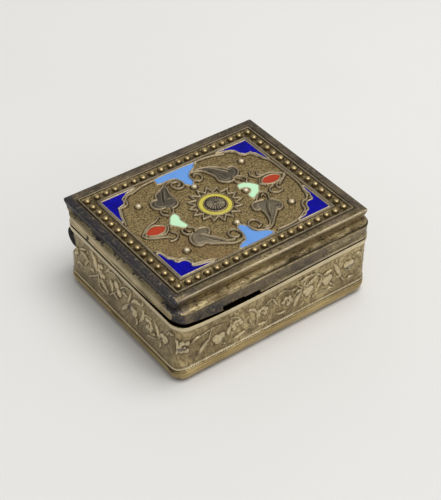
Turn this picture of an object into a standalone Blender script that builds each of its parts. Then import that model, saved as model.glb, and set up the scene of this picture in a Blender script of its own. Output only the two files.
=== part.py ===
"""A small hinged trinket box of gilt silver: a hollow body with a stamped frieze, and a hollow lid
whose top plate carries a beaded frame, scrolling wires and cells of coloured enamel.

Metres, +Z up. The box stands on Z = 0, the hinge runs along X at the back (+Y), and the thumb notch
is at the front (-Y). The origin is the bottom centre of the closed box.
"""
import math

import bmesh
import bpy
from mathutils import Matrix, Vector

MM = 0.001

# The body
BODY_WIDTH = 44.9 * MM
BODY_DEPTH = 36.8 * MM
RIM_HEIGHT = 13.0 * MM
WALL = 0.9 * MM
FLOOR = 1.0 * MM
CORNER_RADIUS = 2.6 * MM
FOOT_INSET = 1.3 * MM
FOOT_HEIGHT = 2.1 * MM
FOOT_GROOVE = 0.35 * MM
BEAD_LINE_HEIGHT = 3.3 * MM
BEAD_LINE_WIDTH = 0.7 * MM
FRIEZE_RECESS = 0.3 * MM
RIM_ROLL = 0.9 * MM
BEZEL_HEIGHT = 0.9 * MM
BEZEL_THICKNESS = 0.6 * MM
BEZEL_CLEARANCE = 0.35 * MM

# The lid
LID_HEIGHT = 5.6 * MM
SEAM_GAP = 0.4 * MM
LID_WALL = 0.85 * MM
PLATE_SIDE_INSET = 0.45 * MM
PLATE_END_INSET = 0.4 * MM
PLATE_CORNER = 0.3 * MM
PLATE_SETBACK = 1.0 * MM
FASCIA_HEIGHT = 2.2 * MM
COVE_HEIGHT = 0.7 * MM
TOP_THICKNESS = 1.15 * MM
LIP_HEIGHT = 0.5 * MM
BAND_RECESS = 0.2 * MM
NOTCH_LEFT = -12.5 * MM
NOTCH_WIDTH = 8.3 * MM
NOTCH_STEP = 4.6 * MM
NOTCH_DEPTH = 1.1 * MM
NOTCH_SHALLOW_DEPTH = 0.75 * MM

# The frame on the lid's top, measured inward from the plate's edge
BORDER_WIDTH = 1.55 * MM
GROOVE_WIDTH = 0.3 * MM
RIDGE_WIDTH = 0.4 * MM
BEAD_TRACK_WIDTH = 2.05 * MM
INNER_RIDGE_WIDTH = 0.6 * MM
TRACK_DEPTH = 0.3 * MM
PANEL_DEPTH = 0.3 * MM
BEADS_ALONG = 18
BEADS_ACROSS = 14
BEAD_RADIUS = 0.68 * MM
BEAD_RISE = 0.5 * MM

# The ornament on the panel
LINE_WIDTH = 0.34 * MM
LINE_RISE = 0.32 * MM
LEAF_RISE = 0.26 * MM
EMBED = 0.15 * MM
CELL_DEPTH = 0.35 * MM
CELL_GAP = 0.1 * MM
ENAMEL_RISE = 0.12 * MM
BOSS_RADIUS = 0.7 * MM
BOSS_RISE = 0.5 * MM
DOME_RADIUS = 2.1 * MM
DOME_RISE = 0.8 * MM
RING_INNER = 2.35 * MM
RING_OUTER = 3.15 * MM
STAR_INNER = 3.6 * MM
STAR_OUTER = 4.9 * MM
STAR_POINTS = 16

# The frieze on the walls
RELIEF_RISE = 0.22 * MM
FRIEZE_LEAF_WIDTH = 1.0 * MM
FRIEZE_BLOSSOM = 1.25 * MM

# The hinge
BARREL_RADIUS = 2.2 * MM
BARREL_TUCK = 0.2 * MM
BARREL_CLEARANCE = 0.3 * MM
BARREL_DROP = 3.6 * MM
BARREL_END_INSET = 1.65 * MM
GUTTER_WALL = 0.8 * MM
KNUCKLES = 5
KNUCKLE_GAP = 0.25 * MM
PIN_RADIUS = 0.7 * MM
PIN_CLEARANCE = 0.09 * MM
LEAF_PLATE = 0.8 * MM
LEAF_PLATE_REACH = 2.0 * MM

# Smoothness
CORNER_STEPS = 4
BARREL_STEPS = 16
RING_STEPS = 20
BEAD_SIDES = 6
BOSS_SIDES = 8
MITRE_LIMIT = 1.2

# Worked out from the sizes above
BARREL_PROUD = BARREL_RADIUS - BARREL_TUCK
BODY_CENTRE_Y = -BARREL_PROUD / 2
BODY_BACK = BODY_CENTRE_Y + BODY_DEPTH / 2
PLATE_CENTRE_Y = BODY_CENTRE_Y + PLATE_SETBACK
LID_BOTTOM = RIM_HEIGHT + SEAM_GAP
PLATE_TOP = LID_BOTTOM + LID_HEIGHT
FASCIA_BOTTOM = PLATE_TOP - FASCIA_HEIGHT
PANEL_TOP = PLATE_TOP - PANEL_DEPTH
TRACK_TOP = PLATE_TOP - TRACK_DEPTH
CAVITY_TOP = PANEL_TOP - TOP_THICKNESS
FRAME_INSET = BORDER_WIDTH + GROOVE_WIDTH + RIDGE_WIDTH + BEAD_TRACK_WIDTH + INNER_RIDGE_WIDTH
PLATE_WIDTH = BODY_WIDTH - 2 * PLATE_SIDE_INSET
PLATE_DEPTH = BODY_DEPTH - 2 * PLATE_END_INSET
PANEL_X = PLATE_WIDTH / 2 - FRAME_INSET
PANEL_Y = PLATE_DEPTH / 2 - FRAME_INSET
BEAD_INSET = BORDER_WIDTH + GROOVE_WIDTH + RIDGE_WIDTH + BEAD_TRACK_WIDTH / 2
HINGE_Y = BODY_BACK - BARREL_RADIUS + BARREL_PROUD
HINGE_Z = RIM_HEIGHT - BARREL_DROP
BARREL_HALF = BODY_WIDTH / 2 - BARREL_END_INSET
CHANNEL_RADIUS = BARREL_RADIUS + BARREL_CLEARANCE
GUTTER_RADIUS = CHANNEL_RADIUS + GUTTER_WALL
KNUCKLE_LENGTH = (2 * BARREL_HALF - (KNUCKLES - 1) * KNUCKLE_GAP) / KNUCKLES
HINGE_POINT = Vector((0, HINGE_Y, HINGE_Z))

# The ornament is drawn in one quarter of the panel, as shares of the panel's half width and half depth
CARTOUCHE = (
    (0.275, 0.97), (0.351, 0.967), (0.456, 0.957), (0.52, 0.936), (0.591, 0.896), (0.637, 0.896),
    (0.678, 0.915), (0.708, 0.87), (0.743, 0.81), (0.754, 0.741), (0.795, 0.695), (0.854, 0.68),
    (0.883, 0.626), (0.889, 0.534), (0.901, 0.458), (0.947, 0.382), (0.965, 0.306), (0.968, 0.137),
    (0.968, 0.0),
)
COBALT_EDGE = (
    (0.573, 0.98), (0.702, 0.956), (0.778, 0.87), (0.795, 0.786), (0.835, 0.738), (0.9, 0.715),
    (0.942, 0.631), (0.965, 0.538), (0.98, 0.423),
)
LEAF = (
    (0.129, 0.824), (0.219, 0.786), (0.281, 0.763), (0.333, 0.695), (0.415, 0.565), (0.456, 0.52),
    (0.474, 0.565), (0.52, 0.588), (0.556, 0.542), (0.556, 0.489), (0.52, 0.42), (0.45, 0.313),
    (0.351, 0.282), (0.298, 0.336), (0.272, 0.427), (0.287, 0.511), (0.263, 0.611), (0.254, 0.706),
    (0.199, 0.756),
)
VOLUTE_CENTRE = (0.135, 0.687)
VOLUTE_START = 80
VOLUTE_OUTER = 1.6 * MM
VOLUTE_INNER = 0.45 * MM
VOLUTE_TURNS = 1.25
BUD_CENTRE = (0.491, 0.26)
BUD_RADIUS = 1.0 * MM
CALYX = (
    (0.93, 0.045), (0.883, 0.107), (0.804, 0.141), (0.731, 0.141), (0.661, 0.177), (0.632, 0.246),
    (0.661, 0.304), (0.725, 0.269),
)
SKY_CELL = (
    (0.225, 0.975), (0.21, 0.94), (0.18, 0.885), (0.125, 0.855), (0.07, 0.8), (0.037, 0.738), (0.035, 0.654),
    (0.018, 0.59),
)
MINT_RIGHT = (
    (0.59, 0.0), (0.52, 0.13), (0.45, 0.177), (0.398, 0.162), (0.386, 0.09), (0.45, 0.073), (0.485, 0.0),
)
MINT_LEFT = ((0.59, 0.0), (0.51, 0.15), (0.455, 0.165), (0.43, 0.09), (0.455, 0.0))
RED_CENTRE = (0.778, 0.0)
RED_HALF_LENGTH = 1.9 * MM
RED_HALF_WIDTH = 1.1 * MM
BOSSES = (
    (0.702, 0.592), (-0.702, 0.592), (0.702, -0.592), (-0.702, -0.592), (0.0, 0.5), (0.0, -0.5), (0.415, 0.0),
)

# The frieze's leaves, foot to tip, and its blossoms, as shares of a wall's half length and of its height
FRONT_LEAVES = (
    (-0.695, 0.55, -0.824, 0.16), (-0.68, 0.64, -0.66, 0.9), (-0.31, 0.41, -0.275, 0.9),
    (-0.027, 0.21, 0.027, 0.85),
    (0.098, 0.36, 0.098, 0.7), (0.24, 0.66, 0.17, 0.18), (0.267, 0.78, 0.4, 0.92), (0.223, 0.78, 0.12, 0.88),
    (0.447, 0.66, 0.414, 0.3), (0.475, 0.79, 0.59, 0.86), (0.624, 0.93, 0.7, 0.3),
)
FRONT_BLOSSOMS = (
    (-0.82, 0.66), (-0.57, 0.33), (-0.445, 0.67), (-0.15, 0.62), (0.32, 0.465), (0.545, 0.44), (0.8, 0.64),
)
SIDE_LEAVES = (
    (-0.58, 0.93, -0.46, 0.6), (-0.61, 0.24, -0.47, 0.5), (-0.42, 0.43, -0.25, 0.24), (-0.24, 0.92, -0.03, 0.9),
    (-0.21, 0.26, -0.1, 0.42), (-0.01, 0.2, 0.16, 0.88), (0.22, 0.66, 0.4, 0.92), (0.31, 0.2, 0.35, 0.62),
    (0.63, 0.86, 0.65, 0.36), (-0.79, 0.7, -0.72, 0.24),
)
SIDE_BLOSSOMS = ((-0.36, 0.75), (-0.09, 0.67), (0.49, 0.49), (0.79, 0.62))


def clear_scene():
    for obj in list(bpy.data.objects):
        bpy.data.objects.remove(obj, do_unlink=True)


def material(name, colour, roughness, metallic):
    mat = bpy.data.materials.new(name)
    mat.use_nodes = True
    shader = mat.node_tree.nodes["Principled BSDF"]
    shader.inputs["Base Color"].default_value = (*colour, 1)
    shader.inputs["Roughness"].default_value = roughness
    shader.inputs["Metallic"].default_value = metallic
    return mat


def finish(bm, name, mat):
    """Turns a bmesh in world space into a named object."""
    bmesh.ops.recalc_face_normals(bm, faces=bm.faces)
    mesh = bpy.data.meshes.new(name)
    bm.to_mesh(mesh)
    bm.free()
    if mat:
        mesh.materials.append(mat)
    obj = bpy.data.objects.new(name, mesh)
    bpy.context.scene.collection.objects.link(obj)
    return obj


def helper(bm, name):
    """A cutter or an addition that isn't a piece of its own."""
    obj = finish(bm, name, None)
    obj.hide_render = True
    obj.display_type = "WIRE"
    return obj


def boolean(obj, other, operation, tangled=False):
    mod = obj.modifiers.new(other.name, "BOOLEAN")
    mod.operation = operation
    mod.object = other
    mod.solver = "EXACT"
    mod.use_self = tangled


def ring(half_x, half_y, centre_y, radius, z):
    """A rounded rectangle, counter-clockwise, with the same number of points for any radius."""
    points = []
    corners = ((1, 1, 0), (-1, 1, 90), (-1, -1, 180), (1, -1, 270))
    for sign_x, sign_y, start in corners:
        for step in range(CORNER_STEPS + 1):
            angle = math.radians(start + 90 * step / CORNER_STEPS)
            x = sign_x * (half_x - radius) + radius * math.cos(angle)
            y = centre_y + sign_y * (half_y - radius) + radius * math.sin(angle)
            points.append((x, y, z))
    return points


def loft(rings):
    """A closed solid through rings of equal length, capped at both ends."""
    bm = bmesh.new()
    rows = [[bm.verts.new(point) for point in row] for row in rings]
    for lower, upper in zip(rows, rows[1:]):
        for i in range(len(lower)):
            j = (i + 1) % len(lower)
            bm.faces.new((lower[i], lower[j], upper[j], upper[i]))
    bm.faces.new(rows[0])
    bm.faces.new(rows[-1])
    return bm


def prism(bm, outline, z_low, z_high):
    """Adds an upright solid over a flat outline of (x, y) points."""
    low = [bm.verts.new((x, y, z_low)) for x, y in outline]
    high = [bm.verts.new((x, y, z_high)) for x, y in outline]
    for i in range(len(outline)):
        j = (i + 1) % len(outline)
        bm.faces.new((low[i], low[j], high[j], high[i]))
    bm.faces.new(low)
    bm.faces.new(high)


def bar(bm, outline, x_low, x_high):
    """Adds a solid along X over an outline of (y, z) points."""
    left = [bm.verts.new((x_low, y, z)) for y, z in outline]
    right = [bm.verts.new((x_high, y, z)) for y, z in outline]
    for i in range(len(outline)):
        j = (i + 1) % len(outline)
        bm.faces.new((left[i], left[j], right[j], right[i]))
    bm.faces.new(left)
    bm.faces.new(right)


def circle(radius, steps, centre=(0, 0)):
    turn = 2 * math.pi / steps
    return [(centre[0] + radius * math.cos(turn * i), centre[1] + radius * math.sin(turn * i)) for i in range(steps)]


def sector(inner, outer, start, end, steps, centre):
    """An outline between two arcs, angles in degrees."""
    angles = [math.radians(start + (end - start) * i / steps) for i in range(steps + 1)]
    outside = [(centre[0] + outer * math.cos(a), centre[1] + outer * math.sin(a)) for a in angles]
    inside = [(centre[0] + inner * math.cos(a), centre[1] + inner * math.sin(a)) for a in reversed(angles)]
    return outside + inside


def strip(path, width, closed=False):
    """The two sides of a line of even width along a flat path."""
    left, right = [], []
    count = len(path)
    for i, point in enumerate(path):
        before = Vector(path[i - 1]) if closed or i > 0 else Vector(point)
        after = Vector(path[(i + 1) % count]) if closed or i < count - 1 else Vector(point)
        along = (after - before).normalized()
        side = Vector((-along.y, along.x)) * width / 2
        left.append(tuple(Vector(point) + side))
        right.append(tuple(Vector(point) - side))
    return left, right


def raised_line(bm, path, width, z_low, z_high):
    left, right = strip(path, width)
    prism(bm, left + right[::-1], z_low, z_high)


def raised_loop(bm, path, width, z_low, z_high):
    """A closed line of even width, as a ring-shaped solid."""
    sides = strip(path, width, closed=True)
    low = [[bm.verts.new((x, y, z_low)) for x, y in side] for side in sides]
    high = [[bm.verts.new((x, y, z_high)) for x, y in side] for side in sides]
    rows = (low[0], high[0], high[1], low[1])
    for row, following in zip(rows, rows[1:] + rows[:1]):
        for i in range(len(path)):
            j = (i + 1) % len(path)
            bm.faces.new((row[i], row[j], following[j], following[i]))


def dome(bm, place, z, radius, rise, sides, embed):
    """A low faceted dome with a foot let into what carries it."""
    rows = []
    for share, height in ((1.0, -embed), (0.88, 0.5 * rise)):
        outline = circle(radius * share, sides, place)
        rows.append([bm.verts.new((x, y, z + height)) for x, y in outline])
    top = bm.verts.new((place[0], place[1], z + rise))
    for i in range(sides):
        j = (i + 1) % sides
        bm.faces.new((rows[0][i], rows[0][j], rows[1][j], rows[1][i]))
        bm.faces.new((rows[1][i], rows[1][j], top))
    bm.faces.new(rows[0])


def on_panel(point, sign_x=1, sign_y=1):
    """A place on the panel from shares of its half width and half depth."""
    return (sign_x * point[0] * PANEL_X, PLATE_CENTRE_Y + sign_y * point[1] * PANEL_Y)


def grown(outline, amount):
    """The outline moved outward by an even amount."""
    area = sum(a[0] * b[1] - b[0] * a[1] for a, b in zip(outline, outline[1:] + outline[:1]))
    turn = 1 if area > 0 else -1
    out = []
    for i, point in enumerate(outline):
        before = (Vector(point) - Vector(outline[i - 1])).normalized()
        after = (Vector(outline[(i + 1) % len(outline)]) - Vector(point)).normalized()
        normal = Vector((before.y + after.y, -before.x - after.x)) * turn
        length = max(normal.length, MITRE_LIMIT)
        out.append(tuple(Vector(point) + normal * (2 * amount / length ** 2)))
    return out


def outer_ring(inset, z):
    radius = max(CORNER_RADIUS - inset, 0.3 * CORNER_RADIUS)
    return ring(BODY_WIDTH / 2 - inset, BODY_DEPTH / 2 - inset, BODY_CENTRE_Y, radius, z)


def body_profile():
    """Insets and heights up the outside of the body, over the rim and down inside."""
    rows = []
    for step in range(4):
        angle = math.radians(90 * step / 3)
        rows.append((FOOT_INSET * (1 - math.sin(angle)), FOOT_HEIGHT * (1 - math.cos(angle))))
    groove = FOOT_HEIGHT + FOOT_GROOVE
    line_low = BEAD_LINE_HEIGHT - BEAD_LINE_WIDTH / 2
    line_high = BEAD_LINE_HEIGHT + BEAD_LINE_WIDTH / 2
    rim_low = RIM_HEIGHT - RIM_ROLL
    bezel_inset = LID_WALL + BEZEL_CLEARANCE
    inner = bezel_inset + BEZEL_THICKNESS
    rows += [
        (FOOT_GROOVE, groove),
        (0, line_low),
        (0, line_high),
        (FRIEZE_RECESS, line_high + FRIEZE_RECESS),
        (FRIEZE_RECESS, rim_low - FRIEZE_RECESS),
        (0, rim_low),
        (0, RIM_HEIGHT - RIM_ROLL / 4),
        (RIM_ROLL / 4, RIM_HEIGHT),
        (bezel_inset, RIM_HEIGHT),
        (bezel_inset, RIM_HEIGHT + BEZEL_HEIGHT),
        (inner, RIM_HEIGHT + BEZEL_HEIGHT),
        (inner, RIM_HEIGHT - 2 * BEZEL_HEIGHT),
        (WALL + FRIEZE_RECESS, RIM_HEIGHT - 2 * BEZEL_HEIGHT - (inner - WALL - FRIEZE_RECESS)),
        (WALL + FRIEZE_RECESS, FLOOR + FOOT_HEIGHT / 2),
        (WALL + FRIEZE_RECESS + FOOT_INSET / 2, FLOOR),
    ]
    return rows


def knuckle_span(index):
    start = -BARREL_HALF + index * (KNUCKLE_LENGTH + KNUCKLE_GAP)
    return start, start + KNUCKLE_LENGTH


def tube(bm, x_low, x_high):
    """A hinge knuckle: a tube around the pin."""
    centre = (HINGE_Y, HINGE_Z)
    sides = [circle(radius, BARREL_STEPS, centre) for radius in (BARREL_RADIUS, PIN_RADIUS + PIN_CLEARANCE)]
    rows = []
    for outline, x in ((sides[0], x_low), (sides[0], x_high), (sides[1], x_high), (sides[1], x_low)):
        rows.append([bm.verts.new((x, y, z)) for y, z in outline])
    for row, following in zip(rows, rows[1:] + rows[:1]):
        for i in range(BARREL_STEPS):
            j = (i + 1) % BARREL_STEPS
            bm.faces.new((row[i], row[j], following[j], following[i]))


def frieze_leaf(foot, tip):
    """A pointed leaf between two places on a wall."""
    along = tip - foot
    side = Vector((-along.y, along.x)).normalized() * FRIEZE_LEAF_WIDTH / 2
    return [foot, foot + along * 0.3 - side, foot + along * 0.7 - 0.7 * side, tip,
            foot + along * 0.7 + 0.7 * side, foot + along * 0.3 + side]


def frieze_blossom(place):
    """A blossom of five lobes."""
    outline = []
    for step in range(10):
        angle = math.pi * (step + 0.5) / 5
        reach = FRIEZE_BLOSSOM * (0.62 if step % 2 else 1.0)
        outline.append(place + reach * Vector((math.cos(angle), math.sin(angle))))
    return outline


def frieze():
    """The relief on the front and on both sides."""
    bm = bmesh.new()
    low = BEAD_LINE_HEIGHT + BEAD_LINE_WIDTH / 2 + FRIEZE_RECESS
    height = RIM_HEIGHT - RIM_ROLL - FRIEZE_RECESS - low
    walls = (
        (0, BODY_DEPTH, BODY_WIDTH, FRONT_LEAVES, FRONT_BLOSSOMS),
        (90, BODY_WIDTH, BODY_DEPTH, SIDE_LEAVES, SIDE_BLOSSOMS),
        (270, BODY_WIDTH, BODY_DEPTH, SIDE_LEAVES, SIDE_BLOSSOMS),
    )
    for turn, across, length, leaves, blossoms in walls:
        spin = Matrix.Translation((0, BODY_CENTRE_Y, 0)) @ Matrix.Rotation(math.radians(turn), 4, "Z")
        face = -across / 2 + FRIEZE_RECESS

        def place(along, up):
            return Vector((along * length / 2, low + up * height))

        outlines = [frieze_leaf(place(*leaf[:2]), place(*leaf[2:])) for leaf in leaves]
        outlines += [frieze_blossom(place(*blossom)) for blossom in blossoms]
        for outline in outlines:
            centre = sum(outline, Vector((0, 0))) / len(outline)
            foot = [bm.verts.new(spin @ Vector((p.x, face + EMBED, p.y))) for p in outline]
            tucked = [centre + (p - centre) * 0.8 for p in outline]
            top = [bm.verts.new(spin @ Vector((p.x, face - RELIEF_RISE, p.y))) for p in tucked]
            for i in range(len(outline)):
                j = (i + 1) % len(outline)
                bm.faces.new((foot[i], foot[j], top[j], top[i]))
            bm.faces.new(foot)
            bm.faces.new(top)
    return helper(bm, "frieze_relief")


def make_body(silver):
    body = finish(loft([outer_ring(inset, z) for inset, z in body_profile()]), "box_body", silver)
    centre = (HINGE_Y, HINGE_Z)

    gutter_bm = bmesh.new()
    half = BODY_WIDTH / 2 - WALL / 2
    back = BODY_BACK - WALL / 2
    start = math.degrees(math.acos((back - HINGE_Y) / GUTTER_RADIUS))
    outline = []
    for i in range(BARREL_STEPS + 1):
        angle = math.radians(start + (360 - 2 * start) * i / BARREL_STEPS)
        outline.append((HINGE_Y + GUTTER_RADIUS * math.cos(angle), HINGE_Z + GUTTER_RADIUS * math.sin(angle)))
    bar(gutter_bm, outline, -half, half)
    gutter = helper(gutter_bm, "hinge_gutter")
    low, high = HINGE_Z - 2 * GUTTER_RADIUS, HINGE_Z + 2 * GUTTER_RADIUS
    inset = (WALL + FRIEZE_RECESS) / 2
    envelope = helper(loft([outer_ring(inset, low), outer_ring(inset, high)]), "body_envelope")
    boolean(gutter, envelope, "INTERSECT")

    channel_bm = bmesh.new()
    bar(channel_bm, circle(CHANNEL_RADIUS, BARREL_STEPS, centre), -BODY_WIDTH, BODY_WIDTH)
    channel = helper(channel_bm, "hinge_channel")

    knuckle_bm = bmesh.new()
    for index in range(0, KNUCKLES, 2):
        tube(knuckle_bm, *knuckle_span(index))
    knuckles = helper(knuckle_bm, "body_knuckles")
    solder_bm = bmesh.new()
    middle_radius = (BARREL_RADIUS + PIN_RADIUS) / 2
    outline = sector(middle_radius, CHANNEL_RADIUS + GUTTER_WALL / 2, 165, 250, 6, centre)
    for index in range(0, KNUCKLES, 2):
        bar(solder_bm, outline, *knuckle_span(index))
    solder = helper(solder_bm, "knuckle_solder")
    boolean(knuckles, solder, "UNION")

    boolean(body, gutter, "UNION")
    boolean(body, channel, "DIFFERENCE")
    boolean(body, knuckles, "UNION")
    boolean(body, frieze(), "UNION", tangled=True)
    return body


def lid_rings():
    """Rings from the underside of the top, down the inside, up the outside and in over the top."""
    wall = LID_WALL
    band_low = LID_BOTTOM + LIP_HEIGHT
    cove = FASCIA_BOTTOM - COVE_HEIGHT

    def band(inset, z):
        return outer_ring(inset, z)

    def plate(inset, z, corner=PLATE_CORNER):
        return ring(PLATE_WIDTH / 2 - inset, PLATE_DEPTH / 2 - inset, PLATE_CENTRE_Y, corner, z)

    inner = wall + BAND_RECESS
    rings = [
        plate(inner, CAVITY_TOP),
        plate(inner, cove),
        band(wall, cove - 0.43 * COVE_HEIGHT),
        band(wall, LID_BOTTOM),
        band(LIP_HEIGHT / 4, LID_BOTTOM),
        band(0, LID_BOTTOM + LIP_HEIGHT / 3),
        band(0, band_low - LIP_HEIGHT / 4),
        band(BAND_RECESS, band_low),
        band(BAND_RECESS, cove - BAND_RECESS),
        band(0, cove),
        band(0, cove + 0.36 * COVE_HEIGHT),
        band(BAND_RECESS, cove + 0.57 * COVE_HEIGHT),
        plate(BAND_RECESS, FASCIA_BOTTOM, 3 * PLATE_CORNER),
        plate(0, PLATE_TOP - 0.25 * FASCIA_HEIGHT),
        plate(0, PLATE_TOP - PLATE_CORNER / 2),
        plate(PLATE_CORNER / 2, PLATE_TOP),
    ]
    inset = BORDER_WIDTH
    bevel = GROOVE_WIDTH / 3
    rings += [plate(inset, PLATE_TOP), plate(inset + bevel, TRACK_TOP)]
    inset += GROOVE_WIDTH
    rings += [plate(inset - bevel / 2, TRACK_TOP), plate(inset + bevel / 2, PLATE_TOP + bevel)]
    inset += RIDGE_WIDTH
    rings += [plate(inset - bevel, PLATE_TOP + bevel), plate(inset, TRACK_TOP)]
    inset += BEAD_TRACK_WIDTH
    rings += [plate(inset, TRACK_TOP), plate(inset + bevel, PLATE_TOP)]
    inset += INNER_RIDGE_WIDTH
    rings += [plate(inset - bevel, PLATE_TOP), plate(inset, PANEL_TOP)]
    return rings


def bead_places():
    """Bead centres around the frame, the corners included."""
    half_x = PLATE_WIDTH / 2 - BEAD_INSET
    half_y = PLATE_DEPTH / 2 - BEAD_INSET
    places = []
    for i in range(BEADS_ALONG + 1):
        x = -half_x + 2 * half_x * i / BEADS_ALONG
        places += [(x, PLATE_CENTRE_Y - half_y), (x, PLATE_CENTRE_Y + half_y)]
    for i in range(1, BEADS_ACROSS):
        y = PLATE_CENTRE_Y - half_y + 2 * half_y * i / BEADS_ACROSS
        places += [(-half_x, y), (half_x, y)]
    return places


def volute_path(sign_x, sign_y):
    """A spiral from the leaf's tail in to the volute's eye."""
    centre = on_panel(VOLUTE_CENTRE, sign_x, sign_y)
    steps = int(8 * VOLUTE_TURNS)
    points = []
    for i in range(steps + 1):
        share = i / steps
        radius = VOLUTE_OUTER + (VOLUTE_INNER - VOLUTE_OUTER) * share
        angle = math.radians(VOLUTE_START + 360 * VOLUTE_TURNS * share)
        x = centre[0] + sign_x * radius * math.cos(angle)
        y = centre[1] + sign_y * radius * math.sin(angle)
        points.append((x, y))
    return points


def cobalt_outline(sign_x, sign_y):
    """The cell in the panel's corner, between the frame and its scalloped edge."""
    edge = COBALT_EDGE[0][1]
    points = COBALT_EDGE + ((COBALT_EDGE[-1][0], edge),)
    return [on_panel(point, sign_x, sign_y) for point in points]


def mirrored(half, sign_x, sign_y, across):
    """A cell drawn on one side of an axis, closed with its mirror image."""
    first = [on_panel(point, sign_x, sign_y) for point in half]
    if across == "x":
        other = [on_panel(point, -sign_x, sign_y) for point in reversed(half) if point[0] != 0]
    else:
        other = [on_panel(point, sign_x, -sign_y) for point in reversed(half) if point[1] != 0]
    return first + other


def red_outline(sign_x):
    """A pointed oval."""
    centre = on_panel(RED_CENTRE, sign_x)
    points = []
    for step in range(12):
        angle = 2 * math.pi * step / 12
        width = RED_HALF_WIDTH * math.sin(angle) * abs(math.sin(angle)) ** 0.35
        points.append((centre[0] + RED_HALF_LENGTH * math.cos(angle), centre[1] + width))
    return points


def cells():
    """Name, material key and outline of every enamel cell."""
    found = []
    for row, sign_y in (("back", 1), ("front", -1)):
        for side, sign_x in (("left", -1), ("right", 1)):
            found.append((f"enamel_cobalt_{row}_{side}", "cobalt", cobalt_outline(sign_x, sign_y)))
        found.append((f"enamel_sky_{row}", "sky", mirrored(SKY_CELL, 1, sign_y, "x")))
    for side, sign_x in (("left", -1), ("right", 1)):
        half = MINT_LEFT if sign_x < 0 else MINT_RIGHT
        found.append((f"enamel_mint_{side}", "mint", mirrored(half, sign_x, 1, "y")))
        found.append((f"enamel_red_{side}", "red", red_outline(sign_x)))
    return found


def wires():
    """The raised lines, leaves, beads and domes soldered on the lid's top, as one addition."""
    bm = bmesh.new()
    low = PANEL_TOP - EMBED
    for place in bead_places():
        dome(bm, place, TRACK_TOP, BEAD_RADIUS, BEAD_RISE, BEAD_SIDES, EMBED)
    for point in BOSSES:
        dome(bm, on_panel(point), PANEL_TOP, BOSS_RADIUS, BOSS_RISE, BOSS_SIDES, EMBED)
    for sign_x in (-1, 1):
        back = [on_panel(point, sign_x, 1) for point in CARTOUCHE]
        front = [on_panel(point, sign_x, -1) for point in reversed(CARTOUCHE[:-1])]
        raised_line(bm, back + front, LINE_WIDTH, low, PANEL_TOP + LINE_RISE)
        for sign_y in (-1, 1):
            leaf = [on_panel(point, sign_x, sign_y) for point in LEAF]
            prism(bm, leaf, low, PANEL_TOP + LEAF_RISE)
            raised_line(bm, volute_path(sign_x, sign_y), LINE_WIDTH, low, PANEL_TOP + LINE_RISE)
            bud = circle(BUD_RADIUS, BOSS_SIDES, on_panel(BUD_CENTRE, sign_x, sign_y))
            raised_loop(bm, bud, LINE_WIDTH, low, PANEL_TOP + LINE_RISE)
            calyx = [on_panel(point, sign_x, sign_y) for point in CALYX]
            raised_line(bm, calyx, LINE_WIDTH, low, PANEL_TOP + LINE_RISE)
    star = []
    for step in range(2 * STAR_POINTS):
        angle = math.pi * (step + 0.5) / STAR_POINTS
        reach = STAR_OUTER if step % 2 == 0 else STAR_INNER
        star.append((reach * math.cos(angle), PLATE_CENTRE_Y + reach * math.sin(angle)))
    raised_loop(bm, star, LINE_WIDTH, low, PANEL_TOP + LINE_RISE)
    dome(bm, (0, PLATE_CENTRE_Y), PANEL_TOP, DOME_RADIUS, DOME_RISE, RING_STEPS, EMBED)
    return helper(bm, "soldered_wires")


def make_lid(silver):
    lid = finish(loft(lid_rings()), "lid", silver)

    cut_bm = bmesh.new()
    floor = PANEL_TOP - CELL_DEPTH
    above = PLATE_TOP + LINE_RISE
    for name, key, outline in cells():
        prism(cut_bm, grown(outline, CELL_GAP), floor, above)
    raised_loop(cut_bm, circle((RING_INNER + RING_OUTER) / 2, RING_STEPS, (0, PLATE_CENTRE_Y)),
                RING_OUTER - RING_INNER + 2 * CELL_GAP, floor, above)
    cutter = helper(cut_bm, "enamel_cells")

    notch_bm = bmesh.new()
    front = BODY_CENTRE_Y - BODY_DEPTH / 2
    outside = front - LID_WALL
    inside = front + LID_WALL + EMBED
    below = LID_BOTTOM - LID_WALL
    for x_low, x_high, depth in (
        (NOTCH_LEFT, NOTCH_LEFT + NOTCH_STEP, NOTCH_DEPTH),
        (NOTCH_LEFT + NOTCH_STEP - EMBED, NOTCH_LEFT + NOTCH_WIDTH, NOTCH_SHALLOW_DEPTH),
    ):
        roof = LID_BOTTOM + depth
        bar(notch_bm, [(outside, below), (inside, below), (inside, roof), (outside, roof)], x_low, x_high)
    notch = helper(notch_bm, "thumb_notch")

    hinge_bm = bmesh.new()
    for index in range(1, KNUCKLES, 2):
        tube(hinge_bm, *knuckle_span(index))
    knuckles = helper(hinge_bm, "lid_knuckles")
    leaf_bm = bmesh.new()
    inner = BODY_BACK + BEZEL_CLEARANCE
    outer = inner + LEAF_PLATE
    foot = HINGE_Z + math.sqrt(BARREL_RADIUS ** 2 - (outer - HINGE_Y) ** 2) - 0.5 * LEAF_PLATE
    in_wall = BODY_BACK - LID_WALL / 2
    top = LID_BOTTOM + LEAF_PLATE_REACH
    step = LID_BOTTOM + EMBED
    outline = [(inner, foot), (outer, foot), (outer, top), (in_wall, top), (in_wall, step), (inner, step)]
    for index in range(1, KNUCKLES, 2):
        bar(leaf_bm, outline, *knuckle_span(index))
    leaves = helper(leaf_bm, "hinge_leaves")
    boolean(knuckles, leaves, "UNION")

    boolean(lid, wires(), "UNION", tangled=True)
    boolean(lid, cutter, "DIFFERENCE", tangled=True)
    boolean(lid, notch, "DIFFERENCE", tangled=True)
    boolean(lid, knuckles, "UNION")
    return lid


def make_pin(steel):
    bm = bmesh.new()
    end = BARREL_HALF + PIN_CLEARANCE
    bar(bm, circle(PIN_RADIUS, BARREL_STEPS, (HINGE_Y, HINGE_Z)), -end, end)
    return finish(bm, "hinge_pin", steel)


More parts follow.
